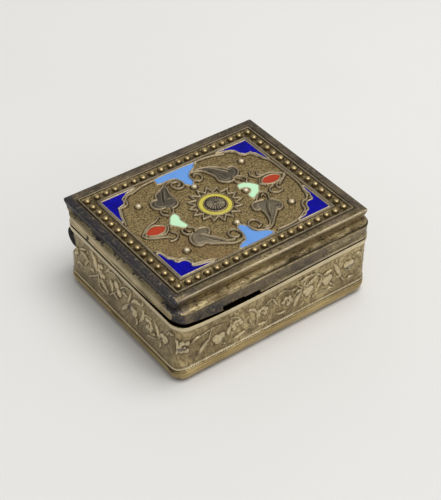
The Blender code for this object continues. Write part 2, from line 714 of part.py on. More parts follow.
def make_enamels(glazes):
    """One solid for each enamel cell, and the ring around the centre dome."""
    pieces = []
    low = PANEL_TOP - CELL_DEPTH + CELL_GAP
    high = PANEL_TOP + ENAMEL_RISE
    for name, key, outline in cells():
        bm = bmesh.new()
        prism(bm, outline, low, high)
        pieces.append(finish(bm, name, glazes[key]))
    bm = bmesh.new()
    middle = circle((RING_INNER + RING_OUTER) / 2, RING_STEPS, (0, PLATE_CENTRE_Y))
    raised_loop(bm, middle, RING_OUTER - RING_INNER, low, high)
    pieces.append(finish(bm, "enamel_yellow_ring", glazes["yellow"]))
    return pieces


def hang(pieces):
    """Hangs the moving pieces on an empty at the hinge line."""
    pivot = bpy.data.objects.new("lid_hinge", None)
    bpy.context.scene.collection.objects.link(pivot)
    pivot.location = HINGE_POINT
    bpy.context.view_layer.update()
    for piece in pieces:
        piece.data.transform(Matrix.Translation(-HINGE_POINT))
        piece.parent = pivot


def main():
    clear_scene()
    silver = material("gilt_silver", (0.36, 0.3, 0.19), 0.38, 1.0)
    lid_silver = material("tarnished_gilt_silver", (0.27, 0.23, 0.15), 0.42, 1.0)
    dark = material("dark_pin_wire", (0.1, 0.095, 0.09), 0.5, 1.0)
    glazes = {
        "cobalt": material("cobalt_enamel", (0.004, 0.002, 0.26), 0.15, 0.0),
        "sky": material("sky_enamel", (0.13, 0.32, 0.68), 0.2, 0.0),
        "mint": material("mint_enamel", (0.5, 0.78, 0.52), 0.2, 0.0),
        "red": material("red_enamel", (0.42, 0.05, 0.012), 0.2, 0.0),
        "yellow": material("yellow_enamel", (0.6, 0.53, 0.13), 0.25, 0.0),
    }
    make_body(silver)
    make_pin(dark)
    lid = make_lid(lid_silver)
    hang([lid] + make_enamels(glazes))


main()
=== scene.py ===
"""The gilt silver trinket box, dressed for rendering: finer relief, beads, enamel and worn, tarnished metal."""
import math

import bpy
import numpy as np
from mathutils import Matrix, Vector


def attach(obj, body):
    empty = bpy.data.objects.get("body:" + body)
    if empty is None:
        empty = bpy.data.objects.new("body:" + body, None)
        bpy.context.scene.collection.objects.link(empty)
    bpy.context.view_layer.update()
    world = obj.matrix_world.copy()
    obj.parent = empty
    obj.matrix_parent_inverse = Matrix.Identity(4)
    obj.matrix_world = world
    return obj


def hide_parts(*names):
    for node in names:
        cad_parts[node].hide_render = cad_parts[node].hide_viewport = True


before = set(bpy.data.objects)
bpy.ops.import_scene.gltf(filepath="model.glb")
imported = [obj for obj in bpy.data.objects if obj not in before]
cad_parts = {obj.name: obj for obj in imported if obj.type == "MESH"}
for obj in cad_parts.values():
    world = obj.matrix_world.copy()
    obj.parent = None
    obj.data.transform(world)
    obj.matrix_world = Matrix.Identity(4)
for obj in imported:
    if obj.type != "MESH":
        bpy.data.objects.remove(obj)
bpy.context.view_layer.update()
MM = 0.001

# Sizes that repeat the solids', in millimetres
BODY_W, BODY_D, BODY_CY = 44.9, 36.8, -1.0
PLATE_W, PLATE_D = 44.0, 36.0
PANEL = 18.7
PANEL_X, PANEL_Y = 17.1, 13.1
DOME_X, DOME_Y = 0.1, 0.05
BEAD_HALF_X, BEAD_HALF_Y, BEAD_FOOT = 18.81, 14.66, 18.68
BEADS_ALONG, BEADS_ACROSS, BEAD_STEPS = 18, 14, 16
HINGE_Y, HINGE_Z = 17.2, 9.4
BARREL_R, BARREL_HALF = 2.2, 20.8
KNUCKLES, KNUCKLE_GAP, KNUCKLE_STEPS = 5, 0.25, 40
CHANNEL_R = 2.5
MOUTH_Y, MOUTH_Z = 15.35, 10.75
NOTCH = (((-12.5, -21, 12.2), (-7.7, -18.1, 14.05)), ((-7.9, -21, 12.2), (-4.2, -18.1, 13.72)))
FRIEZE_LOW, FRIEZE_HIGH = 3.02, 11.95
WALL_INSET, CORNER_R = 0.3, 2.6

# Colours that repeat; the first pair is a near-black painted shade for the cut faces inside the hinge's channel and
# mouth
HOLE_SHADE = ((0.02, 0.017, 0.014), (0.008, 0.007, 0.006))


# Camera, floor and light

def look(obj, direction, up):
    """Turns an object's -Z along a direction."""
    back = -Vector(direction).normalized()
    side = Vector(up).cross(back).normalized()
    obj.rotation_mode = "QUATERNION"
    obj.rotation_quaternion = Matrix((side, back.cross(side), back)).transposed().to_quaternion()


def link(obj):
    bpy.context.scene.collection.objects.link(obj)
    return obj


camera = link(bpy.data.objects.new("camera", bpy.data.cameras.new("camera")))
camera.data.lens = 98.78
camera.data.sensor_width = 36.0
camera.data.clip_start = 0.01
camera.location = (-0.11990, -0.16030, 0.17731)
look(camera, (0.46029, 0.60839, -0.64652), (0.38017, 0.52303, 0.76283))
bpy.context.scene.camera = camera


def area_light(name, place, target, size, power, colour):
    data = bpy.data.lights.new(name, "AREA")
    data.shape = "RECTANGLE"
    data.size, data.size_y = size
    data.energy = power
    data.color = colour
    light = link(bpy.data.objects.new(name, data))
    light.location = place
    look(light, Vector(target) - Vector(place), (0, 0, 1))


# Node helpers

class Nodes:
    """Short ways to make a material's nodes."""

    def __init__(self, name):
        self.mat = bpy.data.materials.new(name)
        self.mat.use_nodes = True
        self.tree = self.mat.node_tree
        self.shader = self.tree.nodes["Principled BSDF"]
        self.place = self.tree.nodes.new("ShaderNodeTexCoord").outputs["Object"]

    def link(self, source, socket):
        if isinstance(source, bpy.types.NodeSocket):
            self.tree.links.new(source, socket)
        else:
            socket.default_value = source

    def noise(self, scale, detail, rough, stretch=None):
        node = self.tree.nodes.new("ShaderNodeTexNoise")
        node.inputs["Scale"].default_value = scale
        node.inputs["Detail"].default_value = detail
        node.inputs["Roughness"].default_value = rough
        self.link(self.stretched(stretch) if stretch else self.place, node.inputs["Vector"])
        return node.outputs["Fac"]

    def stretched(self, scale):
        node = self.tree.nodes.new("ShaderNodeMapping")
        node.inputs["Scale"].default_value = scale
        self.link(self.place, node.inputs["Vector"])
        return node.outputs["Vector"]

    def cells(self, scale):
        node = self.tree.nodes.new("ShaderNodeTexVoronoi")
        node.inputs["Scale"].default_value = scale
        self.link(self.place, node.inputs["Vector"])
        return node.outputs["Distance"]

    def attribute(self, name):
        node = self.tree.nodes.new("ShaderNodeAttribute")
        node.attribute_name = name
        return node.outputs["Fac"]

    def span(self, value, low, high, to_low=0.0, to_high=1.0, smooth=True):
        node = self.tree.nodes.new("ShaderNodeMapRange")
        node.interpolation_type = "SMOOTHSTEP" if smooth else "LINEAR"
        self.link(value, node.inputs["Value"])
        for socket, number in (("From Min", low), ("From Max", high), ("To Min", to_low), ("To Max", to_high)):
            node.inputs[socket].default_value = number
        return node.outputs["Result"]

    def math(self, kind, a, b=0.0, clamp=False):
        """One Math node."""
        node = self.tree.nodes.new("ShaderNodeMath")
        node.operation = kind
        node.use_clamp = clamp
        self.link(a, node.inputs[0])
        self.link(b, node.inputs[1])
        return node.outputs[0]

    def fold(self, kind, first, *others):
        for other in others:
            first = self.math(kind, first, other)
        return first

    def times(self, *values):
        return self.fold("MULTIPLY", *values)

    def plus(self, *values):
        return self.fold("ADD", *values)

    def most(self, *values):
        return self.fold("MAXIMUM", *values)

    def mix(self, share, a, b):
        node = self.tree.nodes.new("ShaderNodeMix")
        node.data_type = "RGBA"
        self.link(share, node.inputs["Factor"])
        for value, name in ((a, "A"), (b, "B")):
            socket = next(s for s in node.inputs if s.name == name and s.type == "RGBA")
            self.link((*value, 1) if isinstance(value, tuple) else value, socket)
        return next(s for s in node.outputs if s.type == "RGBA")

    def axis(self, letter):
        """A coordinate in millimetres."""
        node = self.tree.nodes.new("ShaderNodeSeparateXYZ")
        self.link(self.place, node.inputs[0])
        return self.times(node.outputs[letter], 1000)

    def near(self, place, reach):
        """1 around a place in millimetres, fading to 0 at the given reach along each axis."""
        node = self.tree.nodes.new("ShaderNodeMapping")
        node.inputs["Location"].default_value = [-p / r for p, r in zip(place, reach)]
        node.inputs["Scale"].default_value = [1000 / r for r in reach]
        self.link(self.place, node.inputs["Vector"])
        length = self.tree.nodes.new("ShaderNodeVectorMath")
        length.operation = "LENGTH"
        self.link(node.outputs["Vector"], length.inputs[0])
        return self.span(length.outputs["Value"], 1.0, 0.45)

    def bump(self, height, strength, distance, before=None):
        node = self.tree.nodes.new("ShaderNodeBump")
        node.inputs["Strength"].default_value = strength
        node.inputs["Distance"].default_value = distance
        self.link(height, node.inputs["Height"])
        if before:
            self.link(before, node.inputs["Normal"])
        return node.outputs["Normal"]

    def set(self, **values):
        names = {"color": "Base Color", "metallic": "Metallic", "roughness": "Roughness", "normal": "Normal"}
        for key, value in values.items():
            self.link(value, self.shader.inputs[names[key]])
        return self.mat


def panel_metal():
    """Dull granular gilding of the lid's ground and wires."""
    n = Nodes("panel_metal")
    high = n.attribute("relief")
    grain = n.noise(3300, 3, 0.7)
    fine = n.noise(7000, 2, 0.6)
    patch = n.noise(150, 3, 0.6)
    ground = n.mix(n.span(grain, 0.36, 0.64), (0.08, 0.052, 0.018), (0.42, 0.315, 0.135))
    ground = n.mix(n.span(fine, 0.55, 0.75, 0.0, 0.6), ground, (0.62, 0.5, 0.27))
    red = n.times(n.span(patch, 0.4, 0.66), n.span(n.attribute("worn"), 0.1, 0.9, 0.1, 0.5))
    ground = n.mix(red, ground, (0.27, 0.155, 0.07))
    wire = n.mix(n.span(grain, 0.35, 0.68, 0.0, 0.7), (0.46, 0.375, 0.235), (0.24, 0.18, 0.105))
    leaf = n.mix(n.span(grain, 0.3, 0.7, 0.0, 0.6), (0.29, 0.24, 0.155), (0.17, 0.13, 0.08))
    leaf = n.mix(n.attribute("tarnish"), leaf, (0.05, 0.044, 0.038))
    colour = n.mix(n.attribute("leaf"), ground, leaf)
    dulled = n.mix(n.times(n.attribute("tarnish"), 0.55), wire, (0.1, 0.085, 0.065))
    colour = n.mix(n.span(high, 0.15, 0.7), colour, dulled)
    # Painted highlights on boss tops, cell rims and flute crests, then painted shade along the feet, in grooves,
    # flutes and under the enamels
    colour = n.mix(n.attribute("bright"), colour, (0.72, 0.62, 0.44))
    colour = n.mix(n.span(n.attribute("hollow"), 0.0, 1.0), colour, (0.022, 0.014, 0.007))
    rough = n.span(grain, 0.2, 0.8, 0.5, 0.34)
    bump = n.bump(grain, 0.8, 0.00016)
    bump = n.bump(fine, 0.3, 0.00006, bump)
    return n.set(color=colour, metallic=0.85, roughness=rough, normal=bump)


def lid_metal():
    """The lid's border and walls: worn gilding on the front, a grey tarnish on the border and the left side."""
    n = Nodes("lid_metal")
    x, y, z = (n.axis(letter) for letter in "XYZ")
    grain = n.noise(2600, 3, 0.65)
    fine = n.noise(6000, 2, 0.6)
    streak = n.noise(1000, 4, 0.65, stretch=(0.1, 0.1, 2.2))
    patch = n.noise(230, 4, 0.65)
    broad = n.noise(90, 2, 0.5)
    front = n.span(y, -17.3, -17.6)
    left = n.span(x, -21.0, -21.4)
    top = n.span(z, 18.86, 18.96)
    gold = n.mix(n.span(streak, 0.36, 0.64), (0.13, 0.09, 0.04), (0.42, 0.335, 0.18))
    gold = n.mix(n.span(fine, 0.48, 0.66, 0.0, 0.7), gold, (0.09, 0.06, 0.026))
    gold = n.mix(n.span(patch, 0.55, 0.75, 0.0, 0.45), gold, (0.6, 0.5, 0.31))
    crust = n.noise(1300, 6, 0.8, stretch=(0.6, 0.6, 1.3))
    gold = n.mix(n.span(crust, 0.53, 0.59, 0.0, 0.8), gold, (0.05, 0.034, 0.015))
    gold = n.mix(n.span(crust, 0.4, 0.34, 0.0, 0.7), gold, (0.8, 0.69, 0.46))
    smooth_gold = n.mix(n.span(patch, 0.3, 0.7), (0.33, 0.265, 0.14), (0.56, 0.46, 0.27))
    smooth_gold = n.mix(n.span(streak, 0.5, 0.72, 0.0, 0.6), smooth_gold, (0.2, 0.145, 0.07))
    gold = n.mix(left, gold, smooth_gold)
    dark = n.mix(n.span(patch, 0.36, 0.66), (0.048, 0.041, 0.036), (0.16, 0.122, 0.082))
    dark = n.mix(n.span(grain, 0.5, 0.66, 0.0, 0.6), dark, (0.26, 0.2, 0.115))
    cold = n.times(n.span(patch, 0.5, 0.34), n.times(front, n.span(x, -9.0, -13.0)))
    cold = n.most(cold, n.times(n.span(x, -20.4, -20.9), n.span(grain, 0.7, 0.4, 0.5, 0.95)))
    dark = n.mix(cold, dark, (0.04, 0.04, 0.048))
    edge = n.plus(z, n.span(patch, 0.25, 0.75, -0.7, 0.7, smooth=False))
    edge = n.plus(edge, n.span(grain, 0.3, 0.7, -0.35, 0.35, smooth=False))
    side_dark = n.span(edge, 17.0, 17.2)
    near_corner = n.span(y, -11.0, -17.0, 0.0, 0.85)
    side_dark = n.most(side_dark, n.times(near_corner, n.span(edge, 15.6, 16.8)))
    side_dark = n.times(side_dark, left)
    blotch = n.plus(n.span(grain, 0.3, 0.7, -0.3, 0.3), n.span(x, -20.0, 14.0, 0.85, 0.4, smooth=False))
    blotch = n.plus(blotch, n.span(patch, 0.3, 0.7, -0.45, 0.45))
    blotch = n.plus(blotch, n.times(n.span(x, 2.0, 4.0, 0.0, 0.5), n.span(x, 12.5, 9.5)))
    blotch = n.plus(blotch, n.span(x, -9.0, -13.0, 0.0, 0.35))
    lower = n.times(n.span(z, 13.3, 13.6), n.span(z, 16.5, 15.9))
    front_dark = n.times(n.times(blotch, lower), front)
    upper_blotch = n.plus(n.span(patch, 0.35, 0.65, -0.3, 0.4), n.span(x, -21.0, -6.0, 0.5, 0.0))
    upper = n.times(n.times(upper_blotch, n.span(z, 16.6, 16.9)), front)
    border = n.plus(n.span(patch, 0.3, 0.7, 0.6, 1.05), n.span(y, -17.0, -16.4, -0.42, 0.0))
    border = n.plus(border, n.times(n.span(x, -12.0, -20.0, 0.0, 0.5), n.span(y, -16.4, -17.0)))
    border = n.times(border, top)
    amount = n.most(n.most(side_dark, front_dark), n.most(upper, border))
    amount = n.most(amount, n.attribute("tarnish"))
    amount = n.math("ADD", amount, n.span(grain, 0.3, 0.7, -0.16, 0.16), clamp=True)
    dark = n.mix(n.span(crust, 0.43, 0.37, 0.0, 0.5), dark, (0.42, 0.34, 0.21))
    colour = n.mix(n.span(amount, 0.3, 0.7), gold, dark)
    speckle = n.times(n.span(fine, 0.6, 0.68), n.times(front, n.span(z, 16.6, 17.2)))
    colour = n.mix(n.times(speckle, n.span(x, -9.0, 4.0, 0.25, 0.9)), colour, (0.95, 0.86, 0.64))
    track = n.mix(n.span(grain, 0.35, 0.65), (0.08, 0.056, 0.022), (0.28, 0.21, 0.1))
    colour = n.mix(n.attribute("track"), colour, track)
    # Painted highlights on the lip, the front ridge and the bead track's rims, and on the plate's front edge a mix
    # of real wear and painted highlight, broken by streaks
    worn = n.times(n.attribute("bright"), n.span(streak, 0.3, 0.5, 0.35, 1.0))
    colour = n.mix(worn, colour, (0.72, 0.61, 0.41))
    # Painted shade in the lid's grooves, where the masks below let it through
    groove = n.most(n.span(x, -9.0, -5.0), n.span(z, 18.0, 18.2))
    groove = n.most(groove, n.times(left, n.span(z, 15.6, 15.3)))
    groove = n.times(groove, n.attribute("hollow"))
    colour = n.mix(groove, colour, (0.022, 0.015, 0.007))
    for place, reach in (((-22.2, 9.35, 15.3), (0.9, 0.5, 0.9)), ((-22.3, 3.4, 14.0), (0.9, 0.8, 0.22)),
                         ((-22.3, 0.6, 13.95), (0.9, 1.4, 0.2)), ((-22.3, -4.6, 14.1), (0.9, 0.6, 0.25))):
        colour = n.mix(n.times(n.near(place, reach), 0.93), colour, (0.02, 0.013, 0.007))
    rough = n.span(amount, 0.3, 0.7, 0.38, 0.46)
    bump = n.bump(grain, 0.45, 0.00014)
    bump = n.bump(crust, 0.35, 0.0002, bump)
    bump = n.bump(streak, 0.3, 0.00016, bump)
    bump = n.bump(patch, 0.35, 0.0005, bump)
    return n.set(color=colour, metallic=0.9, roughness=rough, normal=bump)


def body_metal(name, tooled):
    """Pale worn gilding over silver: tooled on the frieze, brushed on the foot, rim and inside."""
    n = Nodes(name)
    x, z = (n.axis(letter) for letter in "XZ")
    grain = n.noise(2500, 3, 0.7)
    fine = n.noise(6500, 2, 0.6)
    tool = n.noise(1500, 3, 0.65, stretch=(1.0, 1.0, 0.6) if tooled else (0.12, 0.12, 1.4))
    patch = n.noise(170, 4, 0.62)
    left = n.span(x, -21.2, -21.9)
    pale = n.mix(n.span(patch, 0.35, 0.68), (0.57, 0.45, 0.235), (0.39, 0.305, 0.155))
    colour = n.mix(n.span(tool, 0.44, 0.58, 0.0, 0.7 if tooled else 0.35), pale, (0.17, 0.118, 0.05))
    colour = n.mix(n.span(fine, 0.54, 0.7, 0.0, 0.5), colour, (0.72, 0.59, 0.34))
    dull = n.times(n.span(patch, 0.42, 0.66), n.span(z, 11.8, 9.5, 0.15, 0.6))
    colour = n.mix(dull, colour, (0.18, 0.13, 0.066))
    colour = n.mix(n.times(left, 0.4), colour, (0.13, 0.095, 0.045))
    # Raised ornament lighter: partly rubbed gilding, partly a painted highlight
    raised = n.mix(n.span(grain, 0.36, 0.66, 0.0, 0.5), (0.86, 0.73, 0.47), (0.5, 0.4, 0.23))
    colour = n.mix(n.span(n.attribute("relief"), 0.2, 0.9, 0.0, 0.6), colour, raised)
    foot = n.mix(n.span(tool, 0.4, 0.6), (0.5, 0.365, 0.15), (0.33, 0.235, 0.09))
    colour = n.mix(n.span(z, 3.2, 2.4, 0.0, 0.7), colour, foot)
    # Painted highlights on the rim band and the beaded line's dots, a painted sheen on the tooled ground's peaks
    colour = n.mix(n.attribute("bright"), colour, (0.95, 0.84, 0.6))
    for place, reach, tint in (
        ((-20.9, -18.5, 8.2), (1.7, 1.2, 0.75), (0.16, 0.13, 0.125)),
        ((-22.3, -4.3, 7.6), (0.9, 1.4, 1.5), (0.19, 0.155, 0.13)),
        ((17.6, -19.4, 8.3), (1.7, 0.9, 0.7), (0.2, 0.165, 0.14)),
        ((16.6, -19.4, 8.1), (0.4, 0.9, 0.3), (0.02, 0.015, 0.01)),
        ((-18.8, -19.4, 5.6), (1.8, 0.9, 1.2), (0.17, 0.125, 0.07)),
        ((-6.0, -19.4, 4.6), (3.0, 0.9, 0.8), (0.2, 0.155, 0.09)),
        ((-22.3, -17.0, 2.4), (0.9, 1.6, 0.6), (0.1, 0.06, 0.03)),
        ((-22.3, 1.0, 2.2), (1.2, 2.4, 0.4), (0.14, 0.09, 0.045)),
    ):
        colour = n.mix(n.times(n.near(place, reach), n.span(grain, 0.3, 0.6, 0.5, 0.9)), colour, tint)
    colour = n.mix(n.attribute("tarnish"), colour, (0.1, 0.08, 0.055))
    # Painted shade in grooves, the seam, the pits of the ground, along the ornament's feet and inside the box
    colour = n.mix(n.attribute("hollow"), colour, (0.02, 0.013, 0.005))
    rough = n.span(grain, 0.25, 0.75, 0.4, 0.25)
    bump = n.bump(tool, 0.6 if tooled else 0.3, 0.00025 if tooled else 0.00012)
    bump = n.bump(grain, 0.35, 0.00012, bump)
    return n.set(color=colour, metallic=0.9, roughness=rough, normal=bump)


def plain_metal(name, colour, other, roughness, metallic=0.9):
    """A dull metal that varies between two colours."""
    n = Nodes(name)
    grain = n.noise(1800, 4, 0.6)
    rough = n.span(grain, 0.3, 0.7, roughness + 0.08, roughness - 0.05)
    n.shader.inputs["Specular IOR Level"].default_value = 0.02
    return n.set(color=n.mix(n.span(grain, 0.35, 0.7), colour, other), metallic=metallic, roughness=rough,
                 normal=n.bump(grain, 0.3, 0.0001))


def hinge_metal():
    """Dark tarnished silver, worn on the rounds of the barrel and black at its ends."""
    n = Nodes("hinge_metal")
    x = n.math("ABSOLUTE", n.axis("X"))
    grain = n.noise(1600, 4, 0.6)
    patch = n.noise(260, 3, 0.6)
    inner = n.span(x, 20.78, 20.7)
    colour = n.mix(n.span(patch, 0.35, 0.7), (0.05, 0.042, 0.034), (0.2, 0.155, 0.095))
    colour = n.mix(n.span(grain, 0.5, 0.7, 0.0, 0.6), colour, (0.3, 0.24, 0.15))
    colour = n.mix(inner, (0.008, 0.007, 0.009), colour)
    n.shader.inputs["Specular IOR Level"].default_value = 0.02
    return n.set(color=colour, metallic=n.times(inner, 0.85), roughness=n.span(grain, 0.3, 0.7, 0.5, 0.36),
                 normal=n.bump(grain, 0.35, 0.00012))


def enamel(name, colour, other, depth=0.3, specular=0.2):
    """Opaque glass with clouds and small pits."""
    n = Nodes(name)
    cloud = n.noise(420, 3, 0.6)
    pits = n.cells(2300)
    tint = n.mix(n.span(cloud, 0.35, 0.7, 0.0, depth), colour, other)
    tint = n.mix(n.span(pits, 0.06, 0.12, 0.5, 0.0), tint, tuple(c * 0.35 for c in colour))
    bump = n.bump(n.noise(700, 2, 0.5), 0.12, 0.0002)
    n.shader.inputs["Specular IOR Level"].default_value = specular
    return n.set(color=tint, roughness=n.span(cloud, 0.3, 0.7, 0.24, 0.36), normal=bump)


# Mesh helpers

def write_marks(mesh, marks):
    for key, values in marks.items():
        layer = mesh.attributes.new(key, "FLOAT", "POINT")
        layer.data.foreach_set("value", np.asarray(values, dtype=np.float32))


def mesh_object(name, verts, faces, mat, body, smooth=True, attributes=None):
    mesh = bpy.data.meshes.new(name)
    mesh.from_pydata((np.asarray(verts, dtype=float) * MM).tolist(), [], faces)
    mesh.validate()
    write_marks(mesh, attributes or {})
    if smooth:
        mesh.shade_smooth()
    mesh.materials.append(mat)
    obj = link(bpy.data.objects.new(name, mesh))
    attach(obj, body)
    return obj


def ring(half_x, half_y, centre_y, radius, z, steps=12, along=14):
    """A rounded rectangle's points, evenly spread along its sides too."""
    corners = []
    for sign_x, sign_y, start in ((1, 1, 0), (-1, 1, 90), (-1, -1, 180), (1, -1, 270)):
        arc = []
        for step in range(steps + 1):
            angle = math.radians(start + 90 * step / steps)
            arc.append((sign_x * (half_x - radius) + radius * math.cos(angle),
                        centre_y + sign_y * (half_y - radius) + radius * math.sin(angle), z))
        corners.append(arc)
    points = []
    for arc, after in zip(corners, corners[1:] + corners[:1]):
        points += arc
        a, b = arc[-1], after[0]
        points += [tuple(a[i] + (b[i] - a[i]) * k / (along + 1) for i in range(3)) for k in range(1, along + 1)]
    return points


def loft(rings, capped=True):
    """Faces between rings of the same number of points."""
    verts = [point for row in rings for point in row]
    count = len(rings[0])
    faces = []
    for r in range(len(rings) - 1):
        for i in range(count):
            j = (i + 1) % count
            faces.append((r * count + i, r * count + j, (r + 1) * count + j, (r + 1) * count + i))
    if capped:
        faces.append(tuple(reversed(range(count))))
        faces.append(tuple((len(rings) - 1) * count + i for i in range(count)))
    return verts, faces


def closed_loft(rows):
    """A loft whose last ring joins its first."""
    verts, faces = loft(rows + rows[:1], capped=False)
    count = len(rows) * len(rows[0])
    return verts[:count], [tuple(v % count for v in face) for face in faces]


def upright_ring(x, reach_y, reach_z, steps, centre_y=HINGE_Y, centre_z=HINGE_Z):
    """An oval across X, around the hinge's axis unless told."""
    return [(x, centre_y + reach_y * math.cos(t), centre_z + reach_z * math.sin(t))
            for t in (2 * math.pi * i / steps for i in range(steps))]


def smooth_step(value, low, high):
    t = np.clip((value - low) / (high - low), 0, 1)
    return t * t * (3 - 2 * t)


def curve_points(points, steps=5, closed=False):
    """Points along a Catmull-Rom curve through the given ones."""
    points = list(np.reshape(np.array(points, dtype=float), (-1, 2)))
    count = len(points)
    out = []
    for i in range(count if closed else count - 1):
        if closed:
            a, b, c, d = (points[(i + k - 1) % count] for k in range(4))
        else:
            a, b, c, d = (points[min(max(i + k - 1, 0), count - 1)] for k in range(4))
        for step in range(steps):
            t = step / steps
            out.append(0.5 * (2 * b + (c - a) * t + (2 * a - 5 * b + 4 * c - d) * t * t
                              + (3 * b - a - 3 * c + d) * t ** 3))
    if not closed:
        out.append(points[-1])
    return np.array(out)


class Field:
    """Heights over a flat grid, built up from strokes and fields."""

    def __init__(self, x_low, x_high, y_low, y_high, pitch):
        self.nx = int(round((x_high - x_low) / pitch)) + 1
        self.ny = int(round((y_high - y_low) / pitch)) + 1
        self.xs = np.linspace(x_low, x_high, self.nx)
        self.ys = np.linspace(y_low, y_high, self.ny)
        self.x, self.y = np.meshgrid(self.xs, self.ys)
        self.height = np.zeros_like(self.x)
        # depth sets how dark the painted shadow line along the ornament's feet is
        self.depth = 0.85
        self.marks = {}

    def mark(self, name):
        return self.marks.setdefault(name, np.zeros_like(self.x))

    def raise_mark(self, name, w, value):
        self.mark(name)[w] = np.maximum(self.mark(name)[w], value)

    def window(self, path, margin):
        low, high = path.min(axis=0) - margin, path.max(axis=0) + margin
        i = np.searchsorted(self.xs, (low[0], high[0]))
        j = np.searchsorted(self.ys, (low[1], high[1]))
        return slice(j[0], j[1]), slice(i[0], i[1])

    def distance(self, path, margin):
        """Distance to a path and the share of the way along it, near the path."""
        w = self.window(path, margin)
        x, y = self.x[w], self.y[w]
        best = np.full(x.shape, 1e9)
        share = np.zeros(x.shape)
        for k in range(len(path) - 1):
            a, b = path[k], path[k + 1]
            d = b - a
            t = np.clip(((x - a[0]) * d[0] + (y - a[1]) * d[1]) / max(d @ d, 1e-9), 0, 1)
            r = np.hypot(x - a[0] - t * d[0], y - a[1] - t * d[1])
            near = r < best
            best = np.where(near, r, best)
            share = np.where(near, (k + t) / (len(path) - 1), share)
        return w, best, share

    def inside(self, path):
        """Signed distance to a closed outline, positive inside."""
        loop = np.vstack([path, path[:1]])
        w, best, _ = self.distance(loop, 1.0)
        x, y = self.x[w], self.y[w]
        odd = np.zeros(x.shape, dtype=bool)
        for k in range(len(loop) - 1):
            (x0, y0), (x1, y1) = loop[k], loop[k + 1]
            crosses = (y0 > y) != (y1 > y)
            at = x0 + (y - y0) * (x1 - x0) / (y1 - y0 if y1 != y0 else 1e-9)
            odd ^= crosses & (x < at)
        return w, np.where(odd, best, -best)

    def raise_to(self, w, height):
        self.height[w] = np.maximum(self.height[w], height)

    def wire(self, path, width, rise, end_width=None, amount=1.0, base=0.0):
        """A rounded raised line, tapering to end_width, with a shadow line along its foot."""
        w, d, share = self.distance(path, width * 1.6)
        half = (width + ((end_width or width) - width) * share) / 2
        body = np.sqrt(np.clip(1 - (d / half) ** 2, 0, 1))
        lift = np.where(d < half, base + rise * body, 0)
        self.raise_to(w, lift)
        on = smooth_step(half * 1.15 - d, 0, half * 0.5)
        self.raise_mark("relief", w, on * amount)
        shade = smooth_step(half + 0.27 - d, 0, 0.14) * (d > half * 0.9)
        self.raise_mark("foot", w, shade)

    def dome(self, centre, radius, rise, mark="bright"):
        path = np.array([centre, (centre[0] + 1e-4, centre[1])])
        w, d, _ = self.distance(path, radius * 1.6)
        lift = rise * np.sqrt(np.clip(1 - (d / radius) ** 2, 0, 1))
        self.raise_to(w, lift)
        # The dome's top gets a painted highlight, unless another mark is named, and its foot a painted shadow line
        self.raise_mark(mark, w, smooth_step(radius - d, 0, radius * 0.6))
        shade = smooth_step(radius + 0.27 - d, 0, 0.15) * (d > radius * 0.95)
        self.raise_mark("foot", w, shade)

    def attributes(self):
        relief = self.mark("relief")
        # Painted shade: the foot mark is a painted shadow line along each raised piece's foot, added to the painted
        # shade of grooves and hollows
        foot = self.mark("foot") * (1 - 0.75 * self.mark("relief")) * (1 - np.clip(self.height / 0.3, 0, 1))
        hollow = np.clip(foot * self.depth + self.mark("hollow"), 0, 1)
        return {"relief": relief.ravel(), "bright": self.mark("bright").ravel(),
                "tarnish": self.mark("tarnish").ravel(), "hollow": hollow.ravel()}

    def faces(self):
        index = np.arange(self.nx * self.ny).reshape(self.ny, self.nx)
        a, b, c, d = index[:-1, :-1], index[:-1, 1:], index[1:, 1:], index[1:, :-1]
        return np.stack([a, b, c, d], axis=-1).reshape(-1, 4).tolist()


# The ornament, traced in millimetres from the panel's centre. Each path is a row of x, y, x, y and so on.

